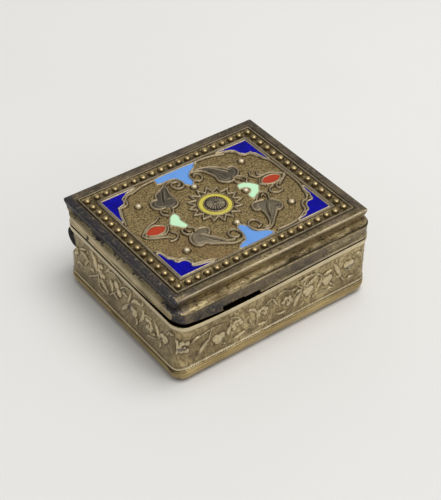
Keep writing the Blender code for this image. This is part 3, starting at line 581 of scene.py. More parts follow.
LEAVES = {
    "back_left": {
        "body": (-4.4, 9.7, -5.6, 9.75, -6.4, 9.2, -7.35, 8.75, -7.95, 8, -8.2, 7.3, -8.85, 7.45, -9.7, 7,
            -10.05, 6.1, -9.85, 5.2, -9.15, 4.6, -8.1, 4.4, -7, 3.6, -6.1, 3.75, -5.35, 4.4, -5.1, 5.5,
            -5.2, 6.7, -4.95, 8, -4.5, 9.1),
        "rims": (
            (-8.2, 7.3, -8.85, 7.45, -9.7, 7, -10.05, 6.1, -9.85, 5.2, -9.15, 4.6, -8.1, 4.5), (-5.3, 9.75,
            -6.4, 9.2, -7.35, 8.75, -7.95, 8, -8.1, 7.2), (-4.5, 9.3, -4.95, 8, -5.2, 6.7, -5.1, 5.5,
            -5.35, 4.4, -6.1, 3.75, -7.05, 3.65), (-9.1, 4.4, -9.65, 3.8, -9.65, 3, -9.1, 2.3), (-8.1, 2.2,
            -7.4, 2.9, -7.2, 3.7), (-5.2, 9.75, -4.3, 10.55, -3.4, 10.85, -2.5, 10.8, -1.6, 10.4,
            -1.15, 9.4, -1.25, 8.2, -2.15, 7.6, -3.05, 7.9, -3.5, 8.9, -3.2, 9.65, -2.35, 9.85, -1.8, 9.3,
            -1.95, 8.6, -2.5, 8.55),
        ),
        "ribs": (
            (-5.9, 9.3, -6.7, 7.9, -7.3, 6.9, -8.1, 5.5), (-5.5, 8.7, -6.2, 7.6, -6.9, 6.4), (-6.4, 6.3,
            -5.7, 6.15, -5.5, 5.3, -6, 4.5, -7.1, 4.4), (-8.7, 6.9, -9.2, 6.3, -8.9, 5.4, -8.3, 5),
            (-9, 3.9, -8.6, 3.2), (-4.9, 9.35, -4.3, 9.95, -3.5, 10.3, -2.6, 10.3),
        ),
        "grooves": (
            (-5.9, 8.9, -6.9, 7.3, -7.6, 5.85), (-9.35, 4.2, -9.2, 3.4, -8.5, 2.8),
        ),
        "dark": 0.72,
    },
    "back_right": {
        "body": (3.1, 10.55, 4.4, 10.45, 6, 9.8, 7.2, 8.75, 8, 7.85, 8.15, 7.35, 8.9, 7.65, 9.65, 7.25,
            9.8, 6.15, 9.4, 5.25, 8.5, 4.5, 7.4, 4.25, 6.8, 3.75, 5.7, 4.05, 4.95, 4.85, 4.8, 5.55,
            5.05, 6.65, 4.8, 7.65, 4.4, 8.75, 3.9, 9.65),
        "rims": (
            (3.1, 10.55, 4.4, 10.45, 5.3, 9.95, 6, 9.2, 6.7, 8.2, 7.8, 6.6), (4.4, 10.45, 6, 9.8,
            7.2, 8.75, 8, 7.75), (5.05, 6.65, 4.8, 5.55, 4.95, 4.85, 5.7, 4.05, 6.8, 3.75, 7.5, 4.2),
            (8.05, 7.25, 8.9, 7.65, 9.65, 7.25, 9.8, 6.15, 9.4, 5.25, 8.5, 4.5, 7.5, 4.3), (7.45, 3.9,
            7.15, 3.15, 7.6, 2.35), (8.6, 4.3, 9.45, 3.5, 9.45, 2.7, 8.9, 2.05), (5.05, 6.65, 4.8, 7.65,
            4.4, 8.75, 3.9, 9.65, 3.1, 10.15, 2.1, 10.45, 1.2, 10.1, 0.95, 9.05, 1.1, 8, 1.8, 7.35,
            2.55, 7.6, 3, 8.4, 2.85, 9.3, 2.2, 9.75, 1.7, 9.2),
        ),
        "ribs": (
            (5.1, 8.6, 5.7, 7.3, 6.5, 6.1), (8.3, 7, 8.9, 6.9, 9.1, 6.1, 8.5, 5.2, 7.6, 4.8), (5.5, 6.4,
            5.4, 5.4, 6.1, 4.7, 7, 4.7), (8, 3.9, 8.6, 3.4, 8.4, 2.8),
        ),
        "grooves": (
            (4.8, 9.2, 5.4, 8, 6.4, 6.9, 7, 5.6), (7.2, 8.2, 8.3, 6.2),
        ),
        "dark": 0.72,
    },
    "front_left": {
        "body": (-4.9, -10.4, -5.9, -9.8, -7.3, -8.9, -8.1, -8.1, -8.8, -8.2, -9.45, -8.05, -9.95, -7.3,
            -10, -6.3, -9.65, -5.4, -9.3, -4.7, -8.4, -4.3, -7.6, -4.15, -6.7, -4, -5.85, -4.3,
            -5.35, -4.85, -5.55, -5.8, -5.95, -6.4, -5.6, -7.8, -4.9, -9, -4.2, -10),
        "rims": (
            (-8.4, -4.5, -9.2, -4.9, -9.65, -5.4, -10, -6.3, -9.95, -7.3, -9.45, -8.05, -8.8, -8.2,
            -8.1, -8.05), (-7.6, -4.2, -6.7, -4, -5.85, -4.3, -5.35, -4.85, -5.5, -5.8, -6, -6.2),
            (-7.2, -5.5, -6.45, -6.6, -5.65, -7.8, -4.95, -9, -4.3, -9.9, -3.2, -10.3), (-9.4, -2.6,
            -9.75, -3.3, -9.45, -4.2, -8.7, -4.6), (-8.1, -2.6, -7.5, -3.1, -7.3, -3.75), (-8.1, -8.05,
            -7.3, -8.9, -5.9, -9.8, -4.9, -10.5, -3.95, -11.1, -2.9, -11.25, -1.9, -10.95, -1.2, -10.1,
            -1.1, -9, -1.55, -8.1, -2.35, -7.75, -3.15, -8.3, -3.3, -9.2, -2.8, -9.95, -2, -10),
        ),
        "ribs": (
            (-8.2, -4.9, -9.2, -5.9, -9.3, -6.9, -8.7, -7.5, -7.9, -7.4), (-7.6, -6.3, -6.8, -7.9,
            -5.8, -9.1), (-8.8, -2.7, -8.9, -3.5, -8.4, -3.9),
        ),
        "grooves": (
            (-7.95, -5.4, -7.1, -6.8, -6.1, -8.3, -5.2, -9.4), (-9.1, -3, -9, -3.9),
        ),
        "dark": 0.22,
    },
    "front_right": {
        "body": (4.2, -11, 5.3, -10.5, 6.4, -9.6, 7.6, -8.75, 8.3, -8.1, 8.9, -8.3, 9.75, -7.95, 10.2, -7,
            10, -6.1, 9.6, -5.4, 8.9, -4.6, 7.9, -4.3, 7, -4, 5.7, -4, 5.1, -4.5, 4.85, -5.45, 5.3, -6.15,
            5.9, -6.8, 5.7, -8.4, 5.2, -9.7, 4.4, -10.7),
        "rims": (
            (5.3, -4.3, 4.85, -5.45, 5.3, -6.15, 5.95, -6), (5.3, -4.3, 6.1, -3.95, 7, -4, 8, -4.3),
            (9.2, -4.7, 10.05, -6, 10.2, -7, 9.75, -7.9, 8.9, -8.3, 8.3, -8.05), (7, -3.5, 7.8, -2.85,
            8.15, -2.5, 8.85, -2, 9.6, -2.4, 9.8, -3.3, 9.3, -4.4), (3.3, -10.9, 4.3, -10.8, 5.05, -10.1,
            5.65, -8.7, 5.95, -7.2, 5.9, -6.3), (8.3, -8.05, 7.6, -8.75, 6.45, -9.65, 5.3, -10.75,
            4.2, -11.35, 3, -11.4, 1.9, -10.9, 1.2, -9.9, 1.15, -9, 1.5, -8.2, 2.25, -7.75, 3.1, -8.05,
            3.45, -9, 3.2, -9.85, 2.4, -10.05),
        ),
        "ribs": (
            (6.1, -9.4, 6.8, -8.1, 7.4, -6.9, 8.3, -5.9), (7.1, -9, 8.4, -7.6, 9.4, -6.6), (6.4, -4.8,
            5.8, -5.2, 6.2, -5.75), (8.4, -3.2, 9, -2.8, 9.1, -3.6),
        ),
        "grooves": (
            (6.15, -8.9, 6.5, -7.7, 7.1, -6.5, 8.2, -5), (8.6, -7.2, 9.6, -7.1),
        ),
        "dark": 0.38,
    },
}
CARTOUCHES = {
    "back_right": (4, 12.8, 5.5, 12.85, 7.1, 12.75, 8.6, 12.4, 9.7, 11.95, 10.6, 11.7, 11.3, 12,
        12.15, 11.5, 12.85, 10.75, 13.05, 9.7, 13.75, 9.05, 14.8, 8.9, 15.15, 8.5, 15.4, 7.8, 15.85, 7.1,
        16.15, 6.1, 16.55, 5.3, 16.8, 4.4, 16.9, 2.5, 16.9, 0),
    "front_right": (16.9, 0, 16.9, -3, 16.6, -4.8, 16.1, -6.2, 15.8, -7.4, 15.35, -8.2, 14.8, -8.75,
        13.8, -8.9, 13.05, -9.7, 12.8, -10.7, 12.2, -11.3, 11.3, -11.8, 9.8, -12.4, 7.4, -12.75, 5, -12.6),
    "front_left": (-16.75, -4.7, -16.1, -5.7, -15.8, -7.3, -15.15, -8.2, -14.7, -8.95, -13.7, -9.15,
        -13, -9.8, -12.85, -10.6, -13.1, -11.35, -12.5, -11.65, -11.4, -11.9, -10, -12.2, -9.3, -12.8),
    "back_left": (-4.6, 12.75, -6.5, 12.65, -8.5, 12.4, -9.8, 12, -10.6, 11.75, -11.5, 11.8, -12.1, 11.45,
        -12.8, 10.9, -12.95, 10.2, -13.3, 9.5, -14.1, 9.15, -14.9, 9.2, -15.3, 8.5, -15.65, 7.7,
        -16.1, 6.8, -16.5, 5.6, -16.85, 4.6),
}
CARTOUCHE_BLOBS = ((12.2, 11.35), (-12.1, 11.75), (15.2, 9.0), (-15.25, 9.35), (-15.35, -8.75), (-13.25, -11.3),
                   (15.6, -7.9))
COBALT = {
    "back_right": (9.8, 12.85, 11.3, 12.45, 12.2, 12.1, 13.1, 11.5, 13.35, 10.8, 13.6, 9.95, 14.35, 9.35,
        15.25, 9.3, 15.65, 8.75, 16.1, 8.15, 16.35, 7.05, 16.55, 6.15, 16.8, 5.5),
    "front_right": (9.9, -12.85, 10.4, -12.6, 11.9, -12.25, 12.5, -11.7, 13.35, -11.35, 13.7, -10.25,
        14.5, -9.5, 15.3, -9.45, 15.95, -9.3, 16.15, -8.45, 16.45, -7.9, 16.45, -7, 16.55, -6.2,
        16.8, -5.3),
    "front_left": (-9.9, -12.85, -11.1, -12.5, -12.1, -12.35, -13.2, -12, -13.65, -11.6, -13.4, -10.85,
        -13.6, -10.1, -14.1, -9.6, -15.05, -9.5, -15.5, -8.95, -15.6, -8.2, -16.15, -7.6, -16.25, -6.5,
        -16.5, -5.7, -16.8, -5.4),
    "back_left": (-9.6, 12.85, -11.7, 12.5, -12.1, 12.15, -13.2, 11.5, -13.4, 10.7, -13.8, 10.1,
        -14.8, 9.75, -15.3, 9.6, -15.6, 8.9, -15.95, 8.1, -16.4, 7, -16.8, 5.7),
}
SKY_BACK = (
    4.1, 12.9, 3.8, 12.4, 3.2, 11.6, 2.2, 11.2, 1.5, 10.5, 0.9, 9.6, 0.85, 8.6, 0.5, 7.8, 0, 7.4,
    -0.5, 7.8, -0.9, 8.6, -1.1, 9.5, -1.6, 10.5, -2.6, 11, -3.9, 11.2, -5.1, 11.4, -4.9, 12.2, -4.4, 12.9,
)
SKY_FRONT = (
    3.4, -12.9, 3.4, -11.9, 2.8, -11.4, 1.6, -10.8, 0.95, -9.8, 0.9, -8.6, 0.45, -7.8, 0, -7.45,
    -0.5, -7.8, -0.75, -8.7, -0.8, -9.8, -1.1, -10.8, -1.7, -11.6, -2.9, -12, -3.4, -12.9,
)
MINT_RIGHT = (
    10.1, 0.1, 8.9, 1.7, 7.7, 2.3, 6.9, 2.1, 6.6, 1.15, 7.5, 1, 8.15, 0.4, 8.15, -0.4, 7.5, -1, 6.8, -1.3,
    7, -2.6, 7.7, -2.3, 8.9, -1.7, 9.6, -0.75,
)
MINT_LEFT = (
    -10.1, 0, -9.4, 1.1, -8.7, 1.9, -7.75, 2.1, -7.55, 0.9, -7.9, 0.2, -7.85, -0.7, -7.65, -1.7, -8, -2.2,
    -8.8, -1.85, -9.4, -1,
)
CALYX = (
    (16.3, -0.3, 15.4, 0.9, 14.2, 1.75, 12.8, 1.85, 11.5, 1.9, 10.9, 2.6, 10.75, 3.4, 11.2, 4.2),
    (12.4, 3.4, 12, 2.6, 12.6, 2.1), (16.4, 0, 15.3, -0.9, 14, -1.5, 13.1, -1.95, 12.6, -2.7, 12.9, -3.2),
    (16.2, -0.6, 15, -1.35, 13.6, -2.2), (12.4, -1.75, 11.3, -2.1, 10.8, -2.9, 11.2, -3.7, 12, -4.05,
    12.9, -3.9), (11.2, -0.8, 10.6, 0.1, 11.2, 1), (-16.2, 0.1, -15.9, -0.7, -14.9, -1.55, -13.5, -2.2,
    -12.4, -2.9, -12.1, -3.4), (-11.2, -1.9, -10.7, -2.9, -11.1, -3.7, -11.9, -4.15, -12.9, -4),
    (-16.2, 0.2, -14.9, 1.2, -13.35, 2, -11.9, 2.3, -10.8, 3), (-15.2, -0.6, -14.1, -1.35, -12.6, -1.75,
    -11.5, -1.2, -10.8, -0.2), (-14.9, 0.55, -14, 1.25, -12.8, 1.35, -11.6, 0.5),
)
BOSSES = ((12.0, 7.75), (-12.0, 7.75), (12.0, -7.75), (-12.0, -7.75), (-0.1, 6.55), (0.0, -6.7), (7.15, -0.05))


def marquise(centre_x, half_length=1.95, half_width=1.12):
    points = []
    for step in range(28):
        angle = 2 * math.pi * step / 28
        points.append((centre_x + half_length * math.cos(angle),
                       0.08 + half_width * math.sin(angle) * abs(math.sin(angle)) ** 0.3))
    return np.array(points)


CELLS = {}
for place, outline in COBALT.items():
    sign_x, sign_y = (1 if "right" in place else -1), (1 if "back" in place else -1)
    edge = curve_points(outline, 3)
    side_x, side_y = sign_x * 16.85, sign_y * 12.88
    tail = np.array([(side_x, edge[-1][1]), (side_x, side_y), (edge[0][0], side_y)])
    CELLS["enamel_cobalt_" + place] = ("cobalt", np.vstack([edge[1:-1], tail]))
for name, outline in (("sky_back", SKY_BACK), ("sky_front", SKY_FRONT), ("mint_right", MINT_RIGHT),
                      ("mint_left", MINT_LEFT)):
    CELLS["enamel_" + name] = (name.split("_")[0], curve_points(outline, 3, closed=True))
CELLS["enamel_red_right"] = ("red", marquise(13.3))
CELLS["enamel_red_left"] = ("red", marquise(-13.3))


def make_panel():
    """The lid's panel: granular ground, cells, wires, leaves, star and bosses as one relief."""
    field = Field(-PANEL_X - 0.05, PANEL_X + 0.05, -PANEL_Y - 0.05, PANEL_Y + 0.05, 0.105)
    rng = np.random.default_rng(11)
    for path in CARTOUCHES.values():
        field.wire(curve_points(path, 4), 0.42, 0.34)
    for place in CARTOUCHE_BLOBS:
        field.dome(place, 0.36, 0.4, "relief")
    for leaf in LEAVES.values():
        w, d = field.inside(curve_points(leaf["body"], 4, closed=True))
        body = smooth_step(d, -0.05, 0.8)
        field.raise_to(w, np.where(d > -0.05, 0.1 + 0.16 * body, 0))
        field.raise_mark("leaf", w, smooth_step(d, -0.1, 0.15))
        field.raise_mark("tarnish", w, smooth_step(d, 0, 0.3) * leaf["dark"])
        for path in leaf["grooves"]:
            w, d, share = field.distance(curve_points(path, 4), 0.6)
            cut_in = (1 - smooth_step(d, 0.0, 0.24)) * smooth_step(share * (1 - share), 0, 0.06)
            field.height[w] -= 0.1 * cut_in
            # Painted shade in the cut groove
            field.raise_mark("hollow", w, 0.75 * cut_in)
        for path in leaf["ribs"]:
            field.wire(curve_points(path, 4), 0.26, 0.16, 0.2, amount=0.55, base=0.2)
        for path in leaf["rims"]:
            field.wire(curve_points(path, 4), 0.4, 0.34, 0.36, base=0.08)
    for path in CALYX:
        field.wire(curve_points(path, 4), 0.36, 0.34, 0.3)
    star = []
    for step in range(32):
        angle = math.pi * (step + 0.5) / 16
        reach = (5.1 if step % 2 == 0 else 3.75) * (1 + 0.02 * rng.standard_normal())
        star.append((DOME_X + reach * math.cos(angle), DOME_Y + reach * math.sin(angle)))
    star.append(star[0])
    field.wire(np.array(star), 0.36, 0.34)
    turn = np.linspace(0, 2 * math.pi, 49)
    for radius in (3.33, 2.2):
        circle = np.stack([DOME_X + radius * np.cos(turn), DOME_Y + radius * np.sin(turn)], axis=1)
        field.wire(circle, 0.24, 0.24, amount=0.6)
    for place in BOSSES:
        field.dome(place, 0.7, 0.56)
    r = np.hypot(field.x - DOME_X, field.y - DOME_Y)
    a = np.arctan2(field.y - DOME_Y, field.x - DOME_X)
    flutes = 0.5 + 0.5 * np.cos(20 * a)
    reach = smooth_step(r, 0.15, 0.6)
    dome = np.where(r < 2.15, 0.6 * np.sqrt(np.clip(1 - (r / 2.3) ** 2, 0, 1)) - 0.2 * (1 - flutes) * reach, 0)
    field.height = np.maximum(field.height, dome)
    inside = r < 2.12
    # The fluted dome: tarnish lifted on the flute crests, which get a painted highlight, with painted shade in the
    # flutes and round its edge
    field.mark("tarnish")[inside] = (0.8 - 0.8 * flutes * reach * (r < 1.75))[inside]
    field.mark("bright")[inside] = (0.3 * flutes ** 2 * reach * (r < 1.75))[inside]
    field.mark("leaf")[inside] = 1.0
    field.mark("hollow")[inside] = np.maximum(0.75 * (1 - flutes) * reach, 0.6 * (r > 1.8))[inside]
    for name, (key, outline) in CELLS.items():
        w, d = field.inside(outline)
        on = smooth_step(0.2 - np.abs(d + 0.13), 0, 0.12)
        field.raise_to(w, (0.24 if key == "cobalt" else 0.16) * on)
        # Each cell's rim gets a painted highlight, and the sunken ground under its enamel painted shade
        field.raise_mark("relief", w, on)
        field.raise_mark("bright", w, on * (0.35 if key == "cobalt" else 0.1))
        field.height[w] = np.where(d > 0.02, -0.3, field.height[w])
        field.mark("hollow")[w] = np.where(d > 0.02, 0.8, field.mark("hollow")[w])
    field.height[(r > 2.33) & (r < 3.19)] = -0.3
    worn = np.clip(-field.x / 17, 0, 1) * 0.5 + np.clip(-field.y / 13, 0, 1) * 0.5
    marks = field.attributes()
    marks["worn"] = np.clip(worn, 0, 1).ravel()
    marks["leaf"] = field.mark("leaf").ravel()
    verts = np.stack([field.x, field.y, PANEL + field.height], axis=-1).reshape(-1, 3)
    return mesh_object("lid_panel", verts, field.faces(), panel_metal(), "lid",
                       attributes=marks)


def make_enamels():
    tints = {
        "cobalt": enamel("cobalt_glaze", (0.002, 0.001, 0.31), (0.001, 0.0005, 0.12), 0.6, 0.07),
        "sky": enamel("sky_glaze", (0.14, 0.33, 0.74), (0.1, 0.24, 0.6)),
        "mint": enamel("mint_glaze", (0.56, 0.86, 0.56), (0.42, 0.68, 0.42)),
        "red": enamel("red_glaze", (0.44, 0.042, 0.011), (0.2, 0.014, 0.005)),
        "yellow": enamel("yellow_glaze", (0.62, 0.54, 0.08), (0.4, 0.32, 0.04)),
    }
    for name, (key, outline) in CELLS.items():
        area = np.sum(outline[:, 0] * np.roll(outline[:, 1], -1) - np.roll(outline[:, 0], -1) * outline[:, 1])
        if area < 0:
            outline = outline[::-1]
        before = outline - np.roll(outline, 1, axis=0)
        after = np.roll(outline, -1, axis=0) - outline
        along = sum(v / np.linalg.norm(v, axis=1)[:, None] for v in (before, after))
        inward = np.stack([-along[:, 1], along[:, 0]], axis=1)
        inward /= np.maximum(np.linalg.norm(inward, axis=1), 0.3)[:, None]
        rows = []
        for shift, z in ((-0.04, PANEL - 0.29), (-0.04, PANEL + 0.02), (0.1, PANEL + 0.1)):
            rows.append(np.column_stack([outline + inward * shift, np.full(len(outline), z)]))
        verts, faces = loft(rows)
        piece = mesh_object(name + "_fill", verts, faces, tints[key], "lid", smooth=False)
        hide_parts(name)
    rows = []
    for radius, z in ((2.34, -0.29), (2.34, 0.02), (2.5, 0.11), (2.76, 0.14), (3.02, 0.11), (3.18, 0.02),
                      (3.18, -0.29)):
        rows.append([(DOME_X + radius * math.cos(t), DOME_Y + radius * math.sin(t), PANEL + z)
                     for t in (2 * math.pi * i / 64 for i in range(64))])
    verts, faces = closed_loft(rows)
    piece = mesh_object("enamel_yellow_ring_fill", verts, faces, tints["yellow"], "lid")
    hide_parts("enamel_yellow_ring")


def band(inset, z):
    return ring(BODY_W / 2 - inset, BODY_D / 2 - inset, BODY_CY, max(CORNER_R - inset, 0.8), z)


def plate(inset, z, corner_radius=0.35):
    return ring(PLATE_W / 2 - inset, PLATE_D / 2 - inset, 0.0, corner_radius, z)


def rings_of(make, rows):
    return [make(*row) for row in rows]


def cut(obj, cutter, operation="DIFFERENCE", mat=None):
    """Applies a boolean; the cut faces take the material given."""
    mod = obj.modifiers.new("cut", "BOOLEAN")
    if mat:
        cutter.data.materials.append(mat)
        mod.material_mode = "TRANSFER"
    mod.operation = operation
    mod.object = cutter
    mod.solver = "EXACT"
    dg = bpy.context.evaluated_depsgraph_get()
    mesh = bpy.data.meshes.new_from_object(obj.evaluated_get(dg))
    obj.modifiers.clear()
    old = obj.data
    obj.data = mesh
    bpy.data.meshes.remove(old)
    bpy.data.objects.remove(cutter, do_unlink=True)


def plain_cutter(verts, faces):
    mesh = bpy.data.meshes.new("cutter")
    mesh.from_pydata([tuple(c * MM for c in v) for v in verts], [], faces)
    return link(bpy.data.objects.new("cutter", mesh))


def box_cutter(low, high):
    verts = [(x, y, z) for x in (low[0], high[0]) for y in (low[1], high[1]) for z in (low[2], high[2])]
    faces = [(0, 1, 3, 2), (4, 6, 7, 5), (0, 4, 5, 1), (2, 3, 7, 6), (0, 2, 6, 4), (1, 5, 7, 3)]
    return plain_cutter(verts, faces)


def set_marks(obj, rule):
    """Point attributes worked out from each vertex's place, in millimetres."""
    flat = np.empty(len(obj.data.vertices) * 3)
    obj.data.vertices.foreach_get("co", flat)
    write_marks(obj.data, rule(flat.reshape(-1, 3) / MM))


def lid_marks(p):
    x, y, z = p.T
    channel = (np.abs(x) < 20.35) & (np.abs(y) < 16.35) & (z > 18)
    inside = (np.abs(x) < 21.3) & (np.abs(y - BODY_CY) < 17.3) & (z < 17.9)
    low = z - seam_shift(x, y)
    tarnish = np.where(inside, 0.3, 0.0)
    tarnish = np.where(channel, 0.2, tarnish)
    # Painted highlights on the lip, the front ridge and the rims of the bead track; on the plate's front edge
    # partly real wear, partly painted highlight
    bright = np.where((low < 13.75) & ~inside, 0.42, 0.0)
    edge = (z > 18.7) & ((np.abs(x) > 21.85) | (np.abs(y) > 17.85))
    bright = np.where(edge & (y < -17), 0.4, bright)
    bright = np.where((z > 16.0) & (z < 16.45) & ~inside & (x > -8), 0.12, bright)
    bright = np.where(channel & (z > 18.98), 0.3, bright)
    # Painted shade in the groove of the fascia, above the left lip and along the walls of the bead track
    hollow = np.where(np.abs(z - 16.55) < 0.16, 0.9, 0.0)
    hollow = np.where((np.abs(low - 14.0) < 0.12) & (x < -20.5) & (y < 2), 0.8, hollow)
    track = np.where(channel & (z < 18.85), 1.0, 0.0)
    hollow = np.where(channel & (z < 18.85) & ((np.abs(x) > 19.9) | (np.abs(y) > 15.9)), 0.6, hollow)
    return {"tarnish": tarnish, "bright": bright, "hollow": hollow, "track": track}


SEAM_SHIFT = {
    "left": ((-18.0, 0.75), (-12.0, 0.8), (-5.0, 0.92), (3.0, 1.1), (12.0, 1.3), (16.0, 1.3)),
    "front": ((-21.0, 0.35), (-18.0, -0.12), (-12.0, -0.42), (-5.0, -0.42), (0.0, -0.28), (8.0, -0.02),
              (20.0, 0.2)),
    "right": ((-18.0, 0.2), (16.0, 0.0)),
    "back": ((-21.0, 1.1), (-14.0, 0.2), (-12.0, 0.0), (20.0, 0.0)),
}


def seam_shift(x, y):
    """How far the worn seam rises or sinks around the box, in millimetres."""
    sides = {key: np.interp(y if key in ("left", "right") else x, *zip(*rows))
             for key, rows in SEAM_SHIFT.items()}
    gaps = {"left": x + BODY_W / 2, "right": BODY_W / 2 - x, "front": y - BODY_CY + BODY_D / 2,
            "back": BODY_CY + BODY_D / 2 - y}
    weights = {key: 1 / (0.4 + np.clip(gap, 0, None)) ** 3 for key, gap in gaps.items()}
    return sum(sides[key] * weights[key] for key in sides) / sum(weights.values())


def settle_body(p):
    """The body's rim and lower line as they run on the worn box."""
    p = np.array(p, dtype=float)
    left = smooth_step(-p[:, 0], 20.5, 22.0)
    rise = seam_shift(p[:, 0], p[:, 1]) * smooth_step(p[:, 2], 6.5, 12.6)
    low = -0.35 * left * smooth_step(p[:, 2], 1.2, 2.8) * (1 - smooth_step(p[:, 2], 3.8, 7.0))
    p[:, 2] += rise + low
    return p


def settle_lid(p):
    """The lid's lower edge follows the seam, and the plate's front left corner is worn down."""
    p = np.array(p, dtype=float)
    ajar = 0.5 * np.exp(-((p[:, 0] + 22) ** 2 + (p[:, 1] + 18) ** 2) / 60) + 0.1 * smooth_step(-p[:, 0], -2, 8)
    rise = (seam_shift(p[:, 0], p[:, 1]) + ajar) * (1 - smooth_step(p[:, 2], 14.2, 17.2))
    wear = np.exp(-((p[:, 0] + 22) ** 2 + (p[:, 1] + 18) ** 2) / 1.6) * smooth_step(p[:, 2], 17.5, 18.9)
    p[:, 2] += rise - 0.28 * wear
    p[:, 0] += 0.16 * wear
    p[:, 1] += 0.16 * wear
    wave = 0.05 * np.sin(p[:, 0] * 0.9 + 1.0) * np.sin(p[:, 1] * 0.7 + 2.0)
    p[:, 2] += wave * smooth_step(p[:, 2], 15.5, 16.5) * (1 - smooth_step(p[:, 2], 17.8, 18.6))
    return p


def make_lid():
    # The notch's cut faces are painted near-black as shade
    shadow = plain_metal("notch_shade", (0.03, 0.021, 0.01), (0.012, 0.008, 0.004), 0.55, 0.1)
    rings = rings_of(plate, ((1.05, 17.55), (1.05, 16.1)))
    rings += rings_of(band, (
        (0.85, 15.8), (0.85, 13.42), (0.82, 13.4), (0.14, 13.4), (0.03, 13.44), (0.0, 13.52), (0.02, 13.62),
        (0.1, 13.72), (0.16, 13.88), (0.2, 14.0), (0.2, 14.14), (0.16, 14.4), (0.14, 15.0), (0.12, 15.5),
        (0.06, 15.85), (0.03, 16.05), (0.03, 16.25), (0.08, 16.36), (0.2, 16.42), (0.27, 16.55), (0.22, 16.62),
        (0.26, 16.66),
    ))
    last, first = np.array(rings[-1]), np.array(plate(0.22, 16.86, 0.9))
    rings.append((last + (first - last) * 0.5).tolist())
    rings += rings_of(plate, (
        (0.22, 16.86, 0.9), (0.26, 17.1, 0.7), (0.24, 17.5, 0.6), (0.16, 17.9, 0.5), (0.05, 18.3, 0.42),
        (0.0, 18.55, 0.38), (0.0, 18.78, 0.36), (0.03, 18.9, 0.34), (0.1, 18.97, 0.32), (0.22, 19.0, 0.3),
    ))
    for inset, z in ((1.3, 19.0), (1.48, 19.0), (1.56, 18.96), (1.62, 18.78), (1.7, 18.72), (1.8, 18.74),
                     (1.86, 18.94), (1.93, 19.04), (2.05, 19.06), (2.15, 19.03), (2.22, 18.9), (2.27, 18.74),
                     (2.35, 18.7), (4.2, 18.7), (4.28, 18.74), (4.34, 18.92), (4.42, 19.0), (4.6, 19.02),
                     (4.74, 18.98), (4.82, 18.86), (4.87, 18.7), (4.9, 18.32)):
        rings.append(plate(inset, z, 0.3))
    verts, faces = loft(rings)
    obj = mesh_object("lid_shell", settle_lid(verts), faces, lid_metal(), "lid")
    set_marks(obj, lid_marks)
    for low, high in NOTCH:
        cut(obj, box_cutter(low, high), mat=shadow)
    obj.data.set_sharp_from_angle(angle=math.radians(35))
    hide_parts("lid")


def make_beads():
    """Round beads along the frame, each a little different."""
    rng = np.random.default_rng(5)
    places = []
    for i in range(BEADS_ALONG + 1):
        x = -BEAD_HALF_X + 2 * BEAD_HALF_X * i / BEADS_ALONG
        places += [(x, -BEAD_HALF_Y), (x, BEAD_HALF_Y)]
    for i in range(1, BEADS_ACROSS):
        y = -BEAD_HALF_Y + 2 * BEAD_HALF_Y * i / BEADS_ACROSS
        places += [(-BEAD_HALF_X, y), (BEAD_HALF_X, y)]
    # Each level's second number paints the bead's light: a dark foot shading up to a painted highlight at the crown
    levels = ((1.0, 0.0), (0.98, 0.0), (0.9, 0.1), (0.76, 0.45), (0.58, 0.75), (0.36, 0.95), (0.16, 1.0))
    verts, faces, bright = [], [], []
    for x, y in places:
        radius = 0.7 * (1 + 0.06 * rng.standard_normal())
        rise = 0.56 * (1 + 0.06 * rng.standard_normal())
        x += 0.05 * rng.standard_normal()
        y += 0.05 * rng.standard_normal()
        start = len(verts)
        for share, light in levels:
            z = BEAD_FOOT if share == 1 else BEAD_FOOT + rise * math.sqrt(1 - share * share) + 0.04
            for s in range(BEAD_STEPS):
                angle = 2 * math.pi * s / BEAD_STEPS
                verts.append((x + radius * share * math.cos(angle), y + radius * share * math.sin(angle), z))
                bright.append(light)
        verts.append((x, y, BEAD_FOOT + rise + 0.04))
        bright.append(1.0)
        top = len(verts) - 1
        for low in range(start, top, BEAD_STEPS):
            for s in range(BEAD_STEPS):
                a, b = low + s, low + (s + 1) % BEAD_STEPS
                faces.append((a, b, top) if low + BEAD_STEPS == top else (a, b, b + BEAD_STEPS, a + BEAD_STEPS))
    n = Nodes("bead_metal")
    grain = n.noise(2600, 3, 0.6)
    # The painted highlight attribute shades each bead from a dark foot to a light crown
    colour = n.mix(n.span(n.attribute("bright"), 0.2, 1.0), (0.11, 0.072, 0.03), (0.5, 0.385, 0.19))
    colour = n.mix(n.span(grain, 0.4, 0.7, 0.0, 0.5), colour, (0.22, 0.16, 0.08))
    mat = n.set(color=colour, metallic=0.9, roughness=0.38, normal=n.bump(grain, 0.3, 0.0001))
    return mesh_object("lid_beads", verts, faces, mat, "lid",
                       attributes={"bright": bright})


# The frieze, traced in millimetres along each wall and up from the table. A leaf's row is its foot, middle,
# tip and width.

